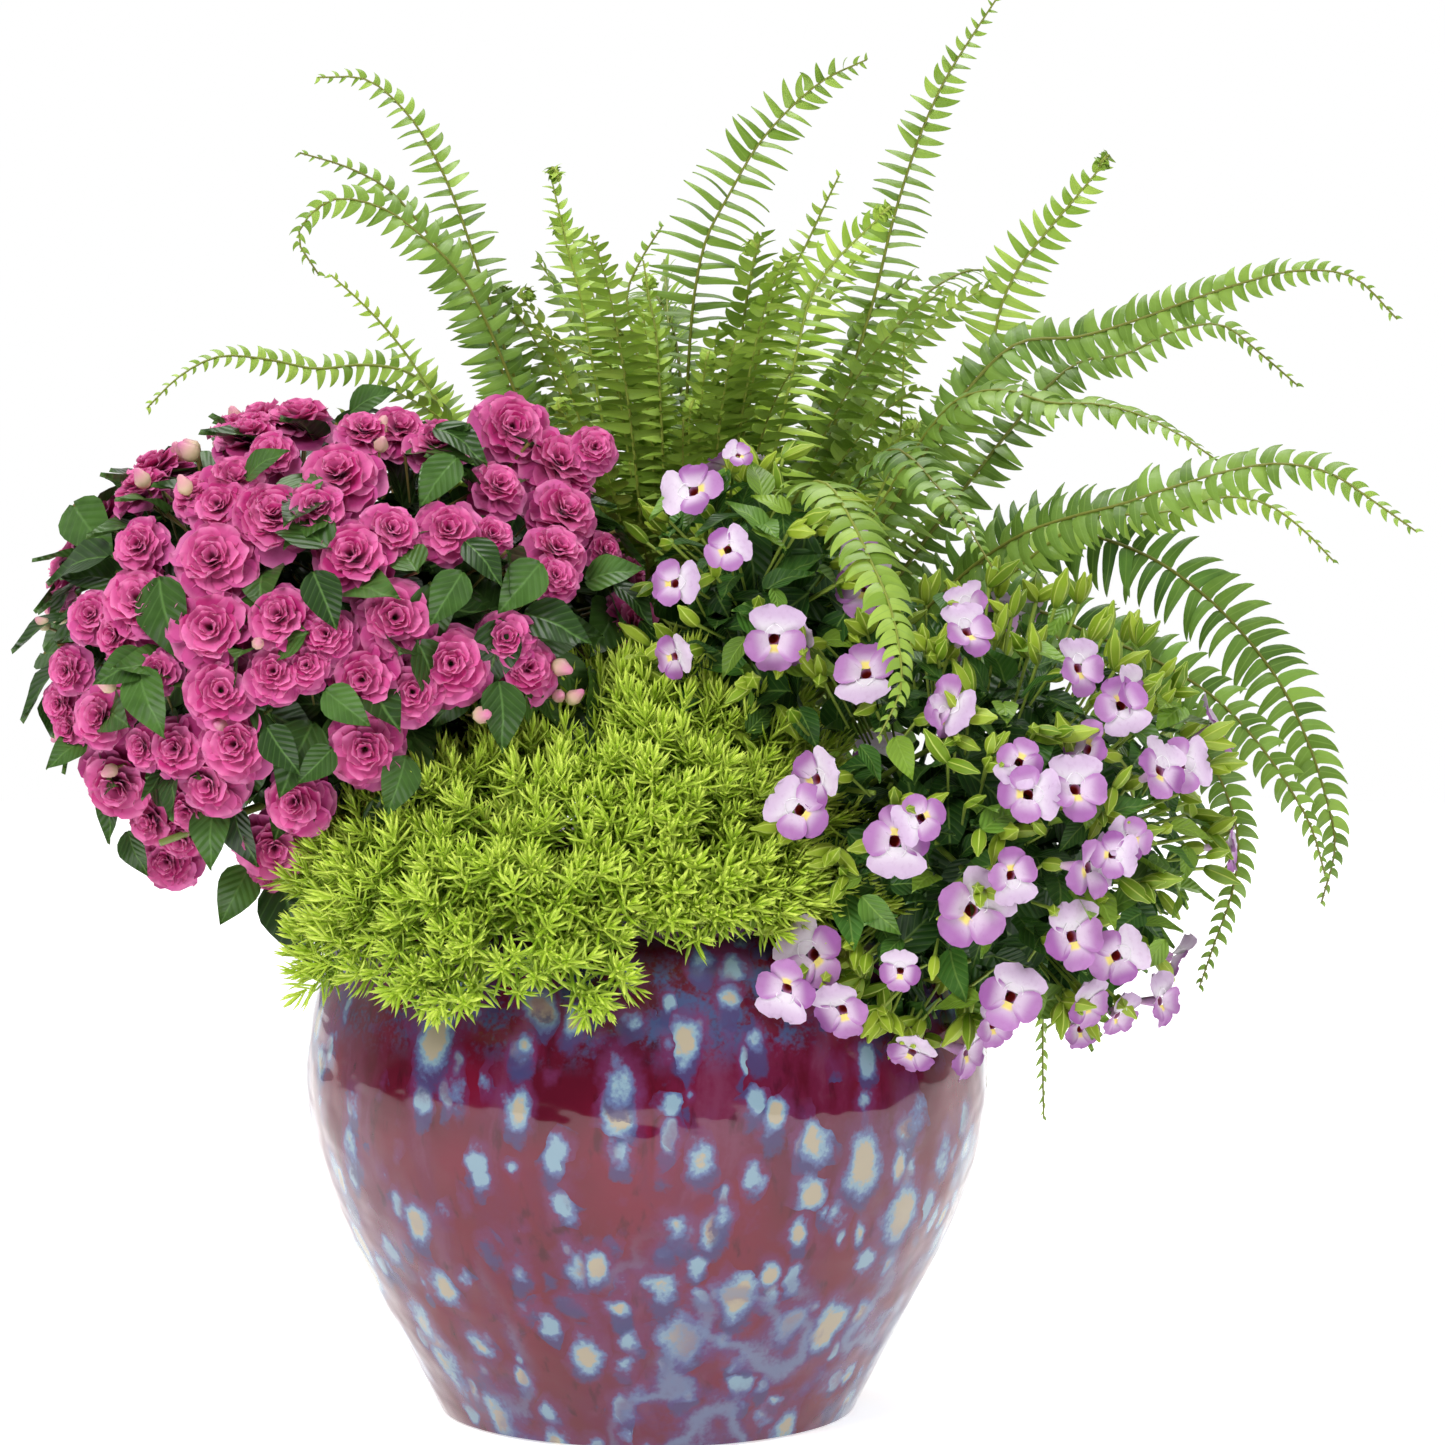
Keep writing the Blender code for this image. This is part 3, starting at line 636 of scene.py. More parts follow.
def potProfile():  # outside of the pot, foot to rim, as radius and height
    rise = pot["bellyHeight"] / 3
    corners = np.array([(pot["footRadius"], 0.003), (pot["footRadius"] + 0.45 * rise, rise),
                        (pot["bellyRadius"] - 0.002, 2 * rise), (pot["bellyRadius"], pot["bellyHeight"])])
    share = np.linspace(0, 1, 19)[:, None]
    wall = ((1 - share) ** 3 * corners[0] + 3 * share * (1 - share) ** 2 * corners[1]
            + 3 * share ** 2 * (1 - share) * corners[2] + share ** 3 * corners[3])
    angle = np.linspace(0, math.pi / 2, 15)[1:]
    out = (pot["bellyRadius"] - pot["neckRadius"]) * np.cos(angle).clip(0) ** 1.3
    shoulder = np.column_stack((pot["neckRadius"] + out,
                                pot["bellyHeight"] + (pot["neckHeight"] - pot["bellyHeight"]) * np.sin(angle)))
    return np.vstack((wall, shoulder))


def potRadius(height):
    outside = potProfile()
    return float(np.interp(height, outside[:, 1], outside[:, 0]))


def clearOfPot(place, gap=0.012):  # moves a place out of the pot's wall and rim, away from the middle
    place = np.array(place, float)
    if place[2] > pot["rimHeight"] + 0.012:
        return place
    radius = np.hypot(place[0], place[1])
    need = potRadius(place[2]) + gap if place[2] < pot["neckHeight"] else pot["neckRadius"] + pot["rimFlare"] + gap
    if radius < need and radius > 0.06:
        place[:2] *= need / radius
    return place


def extrudeRings(sides, rings):  # an edge loop extruded from ring to ring
    deselectAll()
    bpy.ops.mesh.primitive_circle_add(vertices=sides, radius=rings[0][0], location=(0, 0, rings[0][1]))
    startEditing()
    for (radius, height), (nextRadius, nextHeight) in zip(rings, rings[1:]):
        bpy.ops.mesh.extrude_region()
        moveUp(nextHeight - height)
        widen(nextRadius / radius, nextHeight)
    return bpy.context.object


def fillRing(height, radius):  # closes the innermost ring of a level
    pickWhere(lambda co: abs(co.z - height) < pot["hair"] and math.hypot(co.x, co.y) < radius + pot["hair"])
    bpy.ops.mesh.edge_face_add()


glaze = {
    "drops": (  # cells per metre, share of them left bare, shift, cream in the middle
        (60.0, 0.40, 0.31, False), (45.0, 0.34, 0.17, True), (34.0, 0.36, 0.0, True),
    ),
    "dropColours": (  # from the middle or from what ran below it, start, end, colour, strength
        ("near", 0.66, 0.36, "5E2B52", 0.65), ("below", 0.42, 0.26, "34375E", 0.75),
        ("near", 0.41, 0.30, "56658A", 0.85), ("near", 0.32, 0.24, "77909C", 0.92),
    ),
    "core": ("near", 0.245, 0.18, "9A8E78", 0.95),
    "dropStretch": (1.0, 1.0, 0.66), "streakStretch": (1.0, 1.0, 0.30), "dimpleStretch": (0.8, 0.8, 1.25),
    "dimpleDepth": 0.0028,
}


def glazeMaterial():
    material, shader = newMaterial("reactiveGlaze", 0.10, 0.34)
    shader.inputs["Coat Weight"].default_value = 0.22
    shader.inputs["Coat Roughness"].default_value = 0.03
    place = placeOf(material)
    height = addNode(material, "SeparateXYZ", i0=place).outputs["Z"]
    grain = mathOf(material, "SUBTRACT", noiseOf(material, 420.0, 4.0), 0.5)

    def stretched(vector, scale, shift=(0.0, 0.0, 0.0)):
        return addNode(material, "Mapping", Vector=vector, Scale=scale, Location=shift).outputs[0]

    def bent(vector, scale, amount):
        wobble = addNode(material, "TexNoise", Scale=scale, Detail=2.0, Vector=place).outputs["Color"]
        node = addNode(material, "VectorMath", operation="MULTIPLY_ADD", i0=wobble, i1=(amount,) * 3, i2=vector)
        return node.outputs[0]

    def fade(value, low, high):
        return rangeOf(material, value, low, high)

    def times(first, second):
        return mathOf(material, "MULTIPLY", first, second)

    def plus(first, second, share):
        return mathOf(material, "ADD", first, times(second, share))

    def laid(colour, share, code, strength):
        return mixOf(material, times(share, strength), colour, code)

    streakSpace = stretched(bent(place, 20.0, 0.02), glaze["streakStretch"])  # a space stretched up and down, for vertical streaks
    highlightStreak = plus(noiseOf(material, 34.0, 4.0, streakSpace, 0.4), grain, 0.07)
    colour = mixOf(material, fade(noiseOf(material, 11.0, 2.0), 0.35, 0.65), "460A1B", "661029")
    colour = laid(colour, fade(height, 0.175, 0.10), "621B28", 0.6)
    # painted highlight streaks, in a bluish tint and a paler mauve one
    colour = laid(colour, fade(highlightStreak, 0.44, 0.58), "5A1734", 0.65)
    colour = laid(colour, fade(highlightStreak, 0.56, 0.68), "683852", 0.45)
    colour = laid(colour, fade(noiseOf(material, 120.0, 3.0, streakSpace), 0.56, 0.72), "24060E", 0.55)
    # shoulder: blue mottling that thins out over the belly
    mottle = fade(plus(noiseOf(material, 48.0, 5.0, place, 0.4), grain, 0.5), 0.42, 0.66)
    shoulder = times(fade(height, 0.192, 0.215), fade(height, 0.256, 0.238))
    colour = laid(colour, times(shoulder, mottle), "34456A", 0.9)
    # drops of cream with blue halos, and what ran out of them
    warped = bent(bent(place, 42.0, 0.016), 130.0, 0.005)
    for scale, least, shift, cored in glaze["drops"]:
        shifted = [stretched(warped, glaze["dropStretch"], (shift, 0.0, down)) for down in (0.0, 0.006)]
        cell, low = (addNode(material, "TexVoronoi", Scale=scale, Vector=vector) for vector in shifted)
        lot = addNode(material, "SeparateXYZ", i0=cell.outputs["Color"])
        size = times(rangeOf(material, lot.outputs[1], 0.0, 1.0, (0.65, 1.15)),
                     rangeOf(material, lot.outputs[0], least, least + 0.05, (0.01, 1.0)))
        far = {name: plus(mathOf(material, "DIVIDE", node.outputs["Distance"], size), grain, share)
               for name, node, share in (("near", cell, 0.16), ("below", low, 0.22))}
        for where, start, end, code, strength in glaze["dropColours"] + (glaze["core"],) * cored:
            colour = laid(colour, fade(far[where], start, end), code, strength)
    # a pale network near the foot
    web = mathOf(material, "ABSOLUTE", mathOf(material, "SUBTRACT", noiseOf(material, 17.0, 2.0, warped), 0.5))
    web = plus(web, grain, 0.05)
    where = times(fade(height, 0.135, 0.04), fade(noiseOf(material, 7.0, 1.0), 0.46, 0.56))
    colour = laid(colour, times(where, fade(web, 0.10, 0.03)), "4A3568", 0.7)
    colour = laid(colour, times(where, fade(web, 0.055, 0.005)), "667A90", 0.6)
    # the neck: a painted lilac-grey reflection; the rim: browner where the glaze is thin
    colour = laid(colour, fade(height, 0.250, 0.262), "6E5676", 0.75)
    colour = laid(colour, fade(height, 0.270, 0.2745), "7A5A4E", 0.6)
    dimples = stretched(place, glaze["dimpleStretch"])
    waves = plus(noiseOf(material, 24.0, 1.0, dimples), noiseOf(material, 52.0, 1.0, dimples), 0.48)
    relief = addNode(material, "Bump", Height=waves, Distance=glaze["dimpleDepth"], Strength=1.0).outputs[0]
    for value, name in ((colour, "Base Color"), (relief, "Normal"), (relief, "Coat Normal")):
        material.node_tree.links.new(value, shader.inputs[name])
    return material


def buildPot():
    outside = [tuple(ring) for ring in potProfile()]
    neck, rim, flare, wall = pot["neckRadius"], pot["rimHeight"], pot["rimFlare"], pot["wall"]
    middle = (pot["neckHeight"] + rim) / 2
    lip = [(neck - 0.0010, middle - 0.004), (neck - 0.0008, middle + 0.001), (neck + flare * 0.6, rim - 0.0062),
           (neck + flare, rim - 0.0035), (neck + flare - 0.0006, rim - 0.0012), (neck + flare - 0.0025, rim),
           (neck + flare - 0.0060, rim), (neck + flare - 0.0095, rim - 0.0012), (neck - wall, rim - 0.004)]
    inside = [(radius - wall, height) for radius, height in reversed(outside) if height > pot["floor"] + 0.006]
    corner = inside[-1][0]
    inside += [(corner - 0.003, pot["floor"] + 0.002), (corner - 0.010, pot["floor"]),
               (pot["innerRing"], pot["floor"])]
    foot = [(pot["innerRing"], 0.0), (pot["footRadius"] - 0.004, 0.0), (pot["footRadius"] - 0.0012, 0.0008)]
    body = extrudeRings(pot["sides"], foot + outside + lip + inside)
    fillRing(0.0, pot["innerRing"])
    fillRing(pot["floor"], pot["innerRing"])
    bpy.ops.mesh.select_all(action="SELECT")
    bpy.ops.mesh.normals_make_consistent(inside=False)
    bpy.ops.object.mode_set(mode="OBJECT")
    body.name = "glazedPot"
    texture = bpy.data.textures.new("throwingMarks", "CLOUDS")
    texture.noise_scale = 0.045
    marks = body.modifiers.new("throwingMarks", "DISPLACE")
    marks.texture = texture
    marks.strength = pot["throwingMarks"]
    marks.texture_coords = "OBJECT"
    group = body.vertex_groups.new(name="wall")  # foot and floor stay flat
    group.add([v.index for v in body.data.vertices if v.co.z > 0.02], 1.0, "REPLACE")
    marks.vertex_group = "wall"
    makeActive(body)
    bpy.ops.object.modifier_apply(modifier=marks.name)
    for hole in range(pot["drains"]):
        angle = 2 * math.pi * (hole / pot["drains"] + pot["drainStart"])
        spot = (pot["drainRing"] * math.cos(angle), pot["drainRing"] * math.sin(angle), 0)
        deselectAll()
        bpy.ops.mesh.primitive_cylinder_add(vertices=32, radius=pot["drainRadius"], depth=4 * pot["floor"],
                                            location=spot)
        drill = bpy.context.object
        cut = body.modifiers.new("drain", "BOOLEAN")
        cut.object = drill
        cut.solver = "EXACT"
        makeActive(body)
        bpy.ops.object.modifier_apply(modifier=cut.name)
        bpy.data.objects.remove(drill)
    body.vertex_groups.clear()
    makeActive(body)
    bpy.ops.object.shade_smooth_by_angle(angle=math.radians(40))
    body.data.materials.append(glazeMaterial())
    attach(body, "root")
    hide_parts("pot")
    print("pot: glazed body with", len(body.data.polygons), "faces")


# ---- soil and crown
soil = {
    "top": 0.252, "gap": 0.0006, "roughness": 0.0035, "crumbs": 420, "crumbSize": (0.002, 0.0055),
    "scales": 260, "crownShare": 0.9, "seed": 5,  # crownShare: width of the crown inside its scales
}


def soilMaterial():
    material, shader = newMaterial("pottingMix", 0.9, 0.2)
    tone = layerValue(material, "tone")
    grain = noiseOf(material, 300.0, 4.0)
    colour = mixOf(material, grain, "1C130C", "4A3524")
    colour = mixOf(material, tone, colour, "6B5238")
    relief = addNode(material, "Bump", Height=grain, Distance=0.0015, Strength=0.8)
    material.node_tree.links.new(colour, shader.inputs["Base Color"])
    material.node_tree.links.new(relief.outputs[0], shader.inputs["Normal"])
    return material


def buildSoil():
    draw = random.Random(soil["seed"])
    outside = potProfile()
    inside = [(radius - pot["wall"] - soil["gap"], height) for radius, height in outside
              if pot["floor"] + 0.006 < height < soil["top"] - 0.004]
    rings = [(inside[0][0] - 0.012, pot["floor"] + soil["gap"])] + inside
    edge = inside[-1][0] - 0.0005
    shares = (0.97, 0.88, 0.78, 0.67, 0.56, 0.45, 0.33, 0.2, 0.08)
    rings += [(edge, soil["top"] - 0.002)] + [(edge * share, soil["top"]) for share in shares]
    extrudeRings(72, rings)
    fillRing(pot["floor"] + soil["gap"], rings[0][0])
    fillRing(soil["top"], edge * shares[-1])
    pickWhere(lambda co: co.z > soil["top"] - 0.0005 and math.hypot(co.x, co.y) < edge * 0.95)
    bpy.ops.transform.vertex_random(offset=soil["roughness"], seed=soil["seed"])
    bpy.ops.mesh.select_all(action="SELECT")
    bpy.ops.mesh.normals_make_consistent(inside=False)
    bunch = newBunch()
    addCopy(bunch, takeShape(endWithTriangles()), np.eye(3), (0, 0, 0), 0.0)
    deselectAll()
    bpy.ops.mesh.primitive_ico_sphere_add(subdivisions=1, radius=1, location=(0, 0, 0))
    crumb = takeShape(bpy.context.object)
    for _ in range(soil["crumbs"]):
        angle, reach = draw.uniform(0, 2 * math.pi), edge * 0.93 * math.sqrt(draw.random())
        size = [draw.uniform(*soil["crumbSize"]) * draw.uniform(0.6, 1.0) for _ in range(3)]
        turn = facing((math.cos(angle * 7), math.sin(angle * 7), draw.uniform(-0.5, 0.5)), (0, 0.2, 1.0), *size)
        spot = (reach * math.cos(angle), reach * math.sin(angle), soil["top"] + 0.0012)
        addCopy(bunch, crumb, turn, spot, draw.choice((0.1, 0.3, 0.9)))
    makePiece("pottingMix", bunch, soilMaterial(), ["potting_soil"])
    low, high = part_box("fern_crown")
    middle, reach = (low + high) / 2, (high.x - low.x) / 2
    bunch = newBunch()
    deselectAll()
    bpy.ops.mesh.primitive_uv_sphere_add(segments=24, ring_count=16, radius=1, location=(0, 0, 0))
    startEditing()
    bpy.ops.transform.vertex_random(offset=0.10, seed=3)
    dome = takeShape(endWithTriangles())
    foot, reach = (middle.x, middle.y, low.z), reach * soil["crownShare"]
    radii = (reach, reach, high.z - low.z)
    addCopy(bunch, dome, np.diag(radii), foot, 0.2)
    rows = [(0, 0.5, 0, 0), (0.4, 1, 0, 0.05), (0.8, 0.5, 0, 0.02), (1, 0, 0, -0.05)]
    scale = takeShape(growSheet(rows, (0, 0.08, 0)))
    for _ in range(soil["scales"]):  # papery scales of the crown
        angle, up = draw.uniform(0, 2 * math.pi), draw.uniform(0.1, 1.4)
        normal = np.array((math.cos(angle) * math.cos(up), math.sin(angle) * math.cos(up), math.sin(up)))
        spot = np.array(foot) + normal * radii
        upper = normal + (draw.uniform(-0.5, 0.5), draw.uniform(-0.5, 0.5), 0)
        turn = facing(normal + (0, 0, 0.8), upper, 0.003, draw.uniform(0.007, 0.012))
        addCopy(bunch, scale, turn, spot, draw.random())
    material, shader = newMaterial("crownScales", 0.75, 0.3)
    colour = mixOf(material, layerValue(material, "tone"), "2E1C0E", "7A5A2E")
    colour = mixOf(material, mathOf(material, "MULTIPLY", noiseOf(material, 200.0), 0.5), colour, "3C4A1C")
    material.node_tree.links.new(colour, shader.inputs["Base Color"])
    makePiece("crownOfFern", bunch, material, ["fern_crown"])
    print("soil and crown done")


# ---- shared bits of the flowering plants
fullTurn = 6.28  # radians


def moundFront(right, up, mounds):  # place and outward direction where a level line from the front meets a mound
    x, z, best = right / 1000, up / 1000, None
    for middle, radii in mounds:
        across, up = (x - middle[0]) / radii[0], (z - middle[2]) / radii[2]
        inside = 1 - across ** 2 - up ** 2
        if inside < 0.02:
            continue
        place = np.array((x, middle[1] - radii[1] * math.sqrt(inside), z))
        if best is None or place[1] < best[0][1]:
            best = (place, unit((place - middle) / np.square(radii)))
    if best is None:
        middle, radii = min(mounds, key=lambda m: math.hypot((x - m[0][0]) / m[1][0], (z - m[0][2]) / m[1][2]))
        place = np.array((x, middle[1] - 0.02, z))
        best = (place, unit((place - middle) / np.square(radii) + (0, -8, 0)))
    return best


def moundSpot(draw, mounds, test=None):  # a random place on the mounds' common surface
    while True:
        middle, radii = draw.choices(mounds, [size[0] * size[2] for _, size in mounds])[0]
        direction = unit([draw.gauss(0, 1) for _ in range(3)])
        place = np.array(middle) + direction * radii
        if any(sum(((place - other) / size) ** 2) < 0.98 for other, size in mounds if other is not middle):
            continue
        if test is None or test(place, direction):
            return place, unit(direction / radii)


def plainStick():  # a thin tapered stalk along Z, length 1
    deselectAll()
    bpy.ops.mesh.primitive_cone_add(vertices=5, radius1=1.0, radius2=0.65, depth=1, end_fill_type="NOTHING",
                                    location=(0, 0, 0.5))
    startEditing()
    return takeShape(endWithTriangles())


def addStick(bunch, stick, start, end, radius):
    way = np.asarray(end, float) - start
    length = np.linalg.norm(way)
    side = unit(np.cross(way, (0.3, 0.9, 0.1)))
    turn = np.column_stack((side * radius, unit(np.cross(way, side)) * radius, unit(way) * length))
    addCopy(bunch, stick, turn, start, 0.5)


def plantStem(bunch, root, head, radius):  # arches over the rim to its head
    root, head = np.asarray(root, float), np.asarray(head, float)
    bend = root + (head - root) * 0.35
    bend[2] = max(bend[2], pot["rimHeight"] + 0.045)
    points, _ = smoothLine([root, (root + bend) / 2 + (0, 0, 0.012), bend, head], np.linspace(0, 1, 9))
    addCopy(bunch, bendTube(points, np.linspace(radius, radius * 0.6, 9)), np.eye(3), (0, 0, 0), 0.5)


def veinedLeaf(name, codes, roughness=0.42, through=0.2):  # codes: shade, lit, vein, young
    material, shader = newMaterial(name, roughness, 0.5)
    tone, young, along, side = (layerValue(material, layer) for layer in ("tone", "kind", "along", "side"))
    away = mathOf(material, "ABSOLUTE", side)
    colour = mixOf(material, tone, codes[0], codes[1])
    colour = tinted(material, colour, codes[0], noiseOf(material, 90.0), 0.3, 0.7, (0.0, 0.4))
    slant = mathOf(material, "SUBTRACT", mathOf(material, "MULTIPLY", along, 44.0),
                   mathOf(material, "MULTIPLY", away, 16.0))
    ribs = mathOf(material, "SINE", slant)
    colour = tinted(material, colour, codes[2], ribs, 0.75, 1.0, (0.0, 0.22))
    middle = rangeOf(material, away, 0.0, 0.09, (0.75, 0.0))
    colour = mixOf(material, middle, colour, codes[2])
    colour = mixOf(material, young, colour, codes[3])
    height = mathOf(material, "SUBTRACT", mathOf(material, "MULTIPLY", ribs, -0.5), middle)
    finishLeaf(material, shader, colour, through, height, 0.0005)
    return material


def ovalLeaf(width, droop):
    rows = [(0.00, 0.10, 0, 0.00), (0.07, 0.55, 0, 0.02), (0.18, 0.88, 0, 0.05), (0.31, 1.00, 0, 0.065),
            (0.44, 0.97, 0, 0.06), (0.57, 0.82, 0, 0.04), (0.70, 0.62, 0, -0.3 * droop),
            (0.83, 0.36, 0, -0.6 * droop), (0.93, 0.15, 0, -0.85 * droop), (1.00, 0.0, 0, -droop)]
    rows = [(along, across * width, shift, lift) for along, across, shift, lift in rows]
    shape = takeShape(growSheet(rows, (0.05, 0.015, -0.02, 0.015, 0.05)), width / 2)
    wave = 0.018 * np.sin(shape["along"] * 19) * np.abs(shape["side"]) ** 2
    shape["verts"][:, 2] += wave
    return shape


def simpleMaterial(name, base, tip, roughness=0.5, through=0.2, scale=120.0):
    material, shader = newMaterial(name, roughness, 0.5)
    colour = mixOf(material, layerValue(material, "along"), base, tip)
    colour = tinted(material, colour, base, noiseOf(material, scale), 0.35, 0.7, (0.0, 0.35))
    finishLeaf(material, shader, colour, through)
    return material


# ---- double impatiens
impatiens = {
    "mounds": [((-0.148, -0.035, 0.387), (0.150, 0.130, 0.118))],
    "leaves": 560, "leafLength": (0.026, 0.044), "leafDepths": (0.004, 0.014, 0.028, 0.045, 0.060),
    "backBlooms": 44, "bloomWidth": (0.024, 0.037), "bloomScale": 1.13, "buds": 46, "budWidth": (0.006, 0.0105),
    "stemRadius": 0.0030, "stalkRadius": 0.0009, "seed": 21,
    "innerLeaves": 240, "innerReach": (0.15, 0.75), "innerLength": (0.032, 0.046), "innerTone": 0.3,
}
# blooms seen from the front: right, up, width (millimetres)
frontBlooms = [
    (-147, 480, 37), (-196, 476, 31), (-180, 487, 24), (-215, 470, 26), (-180, 463, 31), (-204, 464, 30),
    (-156, 464, 28), (-205, 440, 38), (-243, 444, 26), (-242, 420, 36), (-139, 443, 36), (-119, 454, 27),
    (-206, 408, 38), (-173, 415, 31), (-150, 406, 25), (-117, 413, 37), (-266, 410, 24), (-254, 401, 24),
    (-232, 386, 21), (-200, 378, 33), (-175, 388, 28), (-159, 391, 21), (-133, 384, 31), (-109, 378, 28),
    (-280, 381, 22), (-263, 361, 30), (-285, 363, 21), (-280, 351, 21), (-241, 348, 21), (-224, 348, 28),
    (-195, 352, 33), (-132, 350, 35), (-209, 330, 32), (-256, 322, 38), (-135, 498, 27), (-118, 498, 27),
    (-101, 491, 28), (-64, 496, 34), (-40, 480, 38), (-24, 486, 22), (-69, 472, 28), (-93, 453, 30),
    (-37, 458, 32), (-40, 442, 30), (-42, 429, 22), (-18, 437, 19), (-3, 401, 28), (-91, 391, 34), (-65, 402, 27),
    (-54, 387, 31), (-72, 450, 20), (-235, 282, 28), (-242, 305, 29), (-167, 323, 30), (-178, 296, 34),
    (-182, 275, 25), (-221, 314, 26), (-226, 296, 25),
]
# large leaves between them: right, up, length (millimetres), where the tip points (right, up)
frontLeaves = [
    (-70, 366, 34, 0.1, -1.0), (-45, 405, 36, 0.9, -0.3), (-118, 335, 30, -0.3, -1.0), (-95, 420, 30, -0.5, -0.8),
    (-62, 423, 32, -0.6, -0.7), (-78, 435, 28, 0.6, -0.6), (-140, 372, 28, 0.7, -0.5), (-172, 258, 46, 0.3, -1.0),
    (-200, 270, 32, -0.5, -1.0), (-206, 308, 32, -0.1, -1.0), (-256, 312, 28, -0.3, -1.0),
    (-247, 290, 24, 0.4, -1.0), (-133, 505, 26, 0.8, 0.5), (-90, 485, 32, 0.8, -0.4), (-180, 478, 26, 0.7, 0.6),
    (-20, 425, 30, 0.9, 0.3), (-150, 420, 30, 0.4, -0.9), (-100, 470, 30, -0.5, -0.6), (-232, 372, 36, 0.3, -0.9),
    (-245, 386, 30, -0.8, -0.3), (-170, 352, 28, 0.5, -0.7), (-155, 345, 24, -0.6, -0.6),
    (-10, 410, 28, 0.7, -0.6), (-276, 342, 24, -0.8, -0.5),
]


def petalShape():
    rows = [(0.00, 0.30, 0, 0.00), (0.22, 0.66, 0, 0.05), (0.48, 1.00, 0, 0.06), (0.74, 1.14, 0, 0.0),
            (0.92, 0.92, 0, -0.07), (1.00, 0.50, 0, -0.12)]
    return takeShape(growSheet(rows, (0.16, 0.02, -0.03, 0.02, 0.16), 0.05, 1.5), 0.55)


def bloomShape(petal, seed):  # a rose-like double flower facing Z, radius 1
    draw = random.Random(seed)
    bunch = newBunch()
    rings = [(6, 92, 0.98, -0.42), (7, 76, 0.92, -0.34), (7, 60, 0.80, -0.26), (6, 44, 0.66, -0.18),
             (5, 28, 0.52, -0.10), (4, 12, 0.40, -0.02)]  # petals, lean, length, height
    for count, lean, length, base in rings:
        start = draw.uniform(0, 2 * math.pi)
        for number in range(count):
            angle = start + 2 * math.pi * number / count + draw.uniform(-0.18, 0.18)
            tilt = math.radians(lean + draw.uniform(-9, 9))
            out = np.array((math.cos(angle), math.sin(angle), 0))
            roll = np.array((-math.sin(angle), math.cos(angle), 0)) * draw.uniform(-0.28, 0.28)
            tip = out * math.sin(tilt) + np.array((0, 0, math.cos(tilt)))
            upper = -out * math.cos(tilt) + np.array((0, 0, math.sin(tilt))) + roll
            size = length * draw.uniform(0.88, 1.08)
            turn = facing(tip, upper, size * draw.uniform(0.85, 1.05), size)
            addCopy(bunch, petal, turn, out * 0.06 + (0, 0, base), draw.random(), length)
    return asShape(bunch)


def petalMaterial():
    material, shader = newMaterial("magentaPetal", 0.5, 0.35)
    shader.inputs["Sheen Weight"].default_value = 0.15
    tone, reach, along = (layerValue(material, name) for name in ("tone", "kind", "along"))
    colour = mixOf(material, tone, "C02C7C", "E674B2")
    fan = noiseOf(material, 260.0, 2.0)
    # the first tint is painted shade: deeper magenta towards each petal's base, in the heart of the bloom
    for tint, value, low, high, most in (("880E4C", along, 0.75, 0.1, 0.8), ("BE4A9E", reach, 0.85, 1.0, 0.35),
                                         ("F09AC6", along, 0.80, 1.0, 0.5), ("AA1C64", fan, 0.5, 0.75, 0.22)):
        colour = tinted(material, colour, tint, value, low, high, (0.0, most))
    finishLeaf(material, shader, colour, 0.28, fan, 0.0004)
    return material


def budShape():
    deselectAll()
    bpy.ops.mesh.primitive_uv_sphere_add(segments=8, ring_count=6, radius=0.5, location=(0, 0, 0))
    startEditing()
    pickWhere(lambda co: co.z > 0.2)
    widen(0.72, 0.1, 1.25)
    bpy.ops.mesh.select_all(action="SELECT")
    widen(0.85, 0)
    shape = takeShape(endWithTriangles())
    shape["along"] = shape["verts"][:, 2] + 0.5
    return shape


def aboutZ(angle):
    cosine, sine = math.cos(angle), math.sin(angle)
    return np.array(((cosine, -sine, 0), (sine, cosine, 0), (0, 0, 1)))


def standing(axis, width, length):  # turn for a shape that stands along Z
    axis = unit(axis)
    side = unit(np.cross(axis, (0.31, 0.2, 0.93) if abs(axis[2]) < 0.9 else (1, 0, 0)))
    return np.column_stack((side * width, np.cross(axis, side) * width, axis * length))


def spun(axis, angle, size):  # turn for a flower facing along an axis
    return standing(axis, 1, 1) @ aboutZ(angle) * size


def headMiddles(prefix):
    names = sorted(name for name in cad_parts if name.startswith(prefix))
    spots = {}
    for name in names:
        co = np.array([v.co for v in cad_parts[name].data.vertices])
        top = co[np.linalg.norm(co - co[np.argmax(np.linalg.norm(co - (0, 0, 0.252), axis=1))], axis=1) < 0.09]
        spots[name] = (top.min(0) + top.max(0)) / 2
    return spots


def nearest(heads, place):
    return min(heads, key=lambda name: np.linalg.norm(heads[name] - place))


def putLeaf(greens, heads, leaf, place, tip, upper, length, behind, tone, young=0.0):
    bunch = greens[nearest(heads, place)]  # behind: share of the leaf that is before the place
    addCopy(bunch, leaf, facing(tip, upper, length, length), place - tip * length * behind, tone, young)


def shadeInside(draw, plant, greens, heads, leaf):  # leaves in the middle of a plant, in low tones towards the leaf's shade colour: painted shade
    for _ in range(plant["innerLeaves"]):
        place, outward = moundSpot(draw, plant["mounds"])
        middle = min((np.array(m) for m, _ in plant["mounds"]), key=lambda m: np.linalg.norm(place - m))
        place = clearOfPot(middle + (place - middle) * draw.uniform(*plant["innerReach"]), 0.010)
        tip = unit([draw.gauss(0, 1) for _ in range(3)])
        length, tone = draw.uniform(*plant["innerLength"]), draw.uniform(0, plant["innerTone"])
        putLeaf(greens, heads, leaf, place, tip, outward + (0, -0.3, 0.5), length, 0.5, tone)


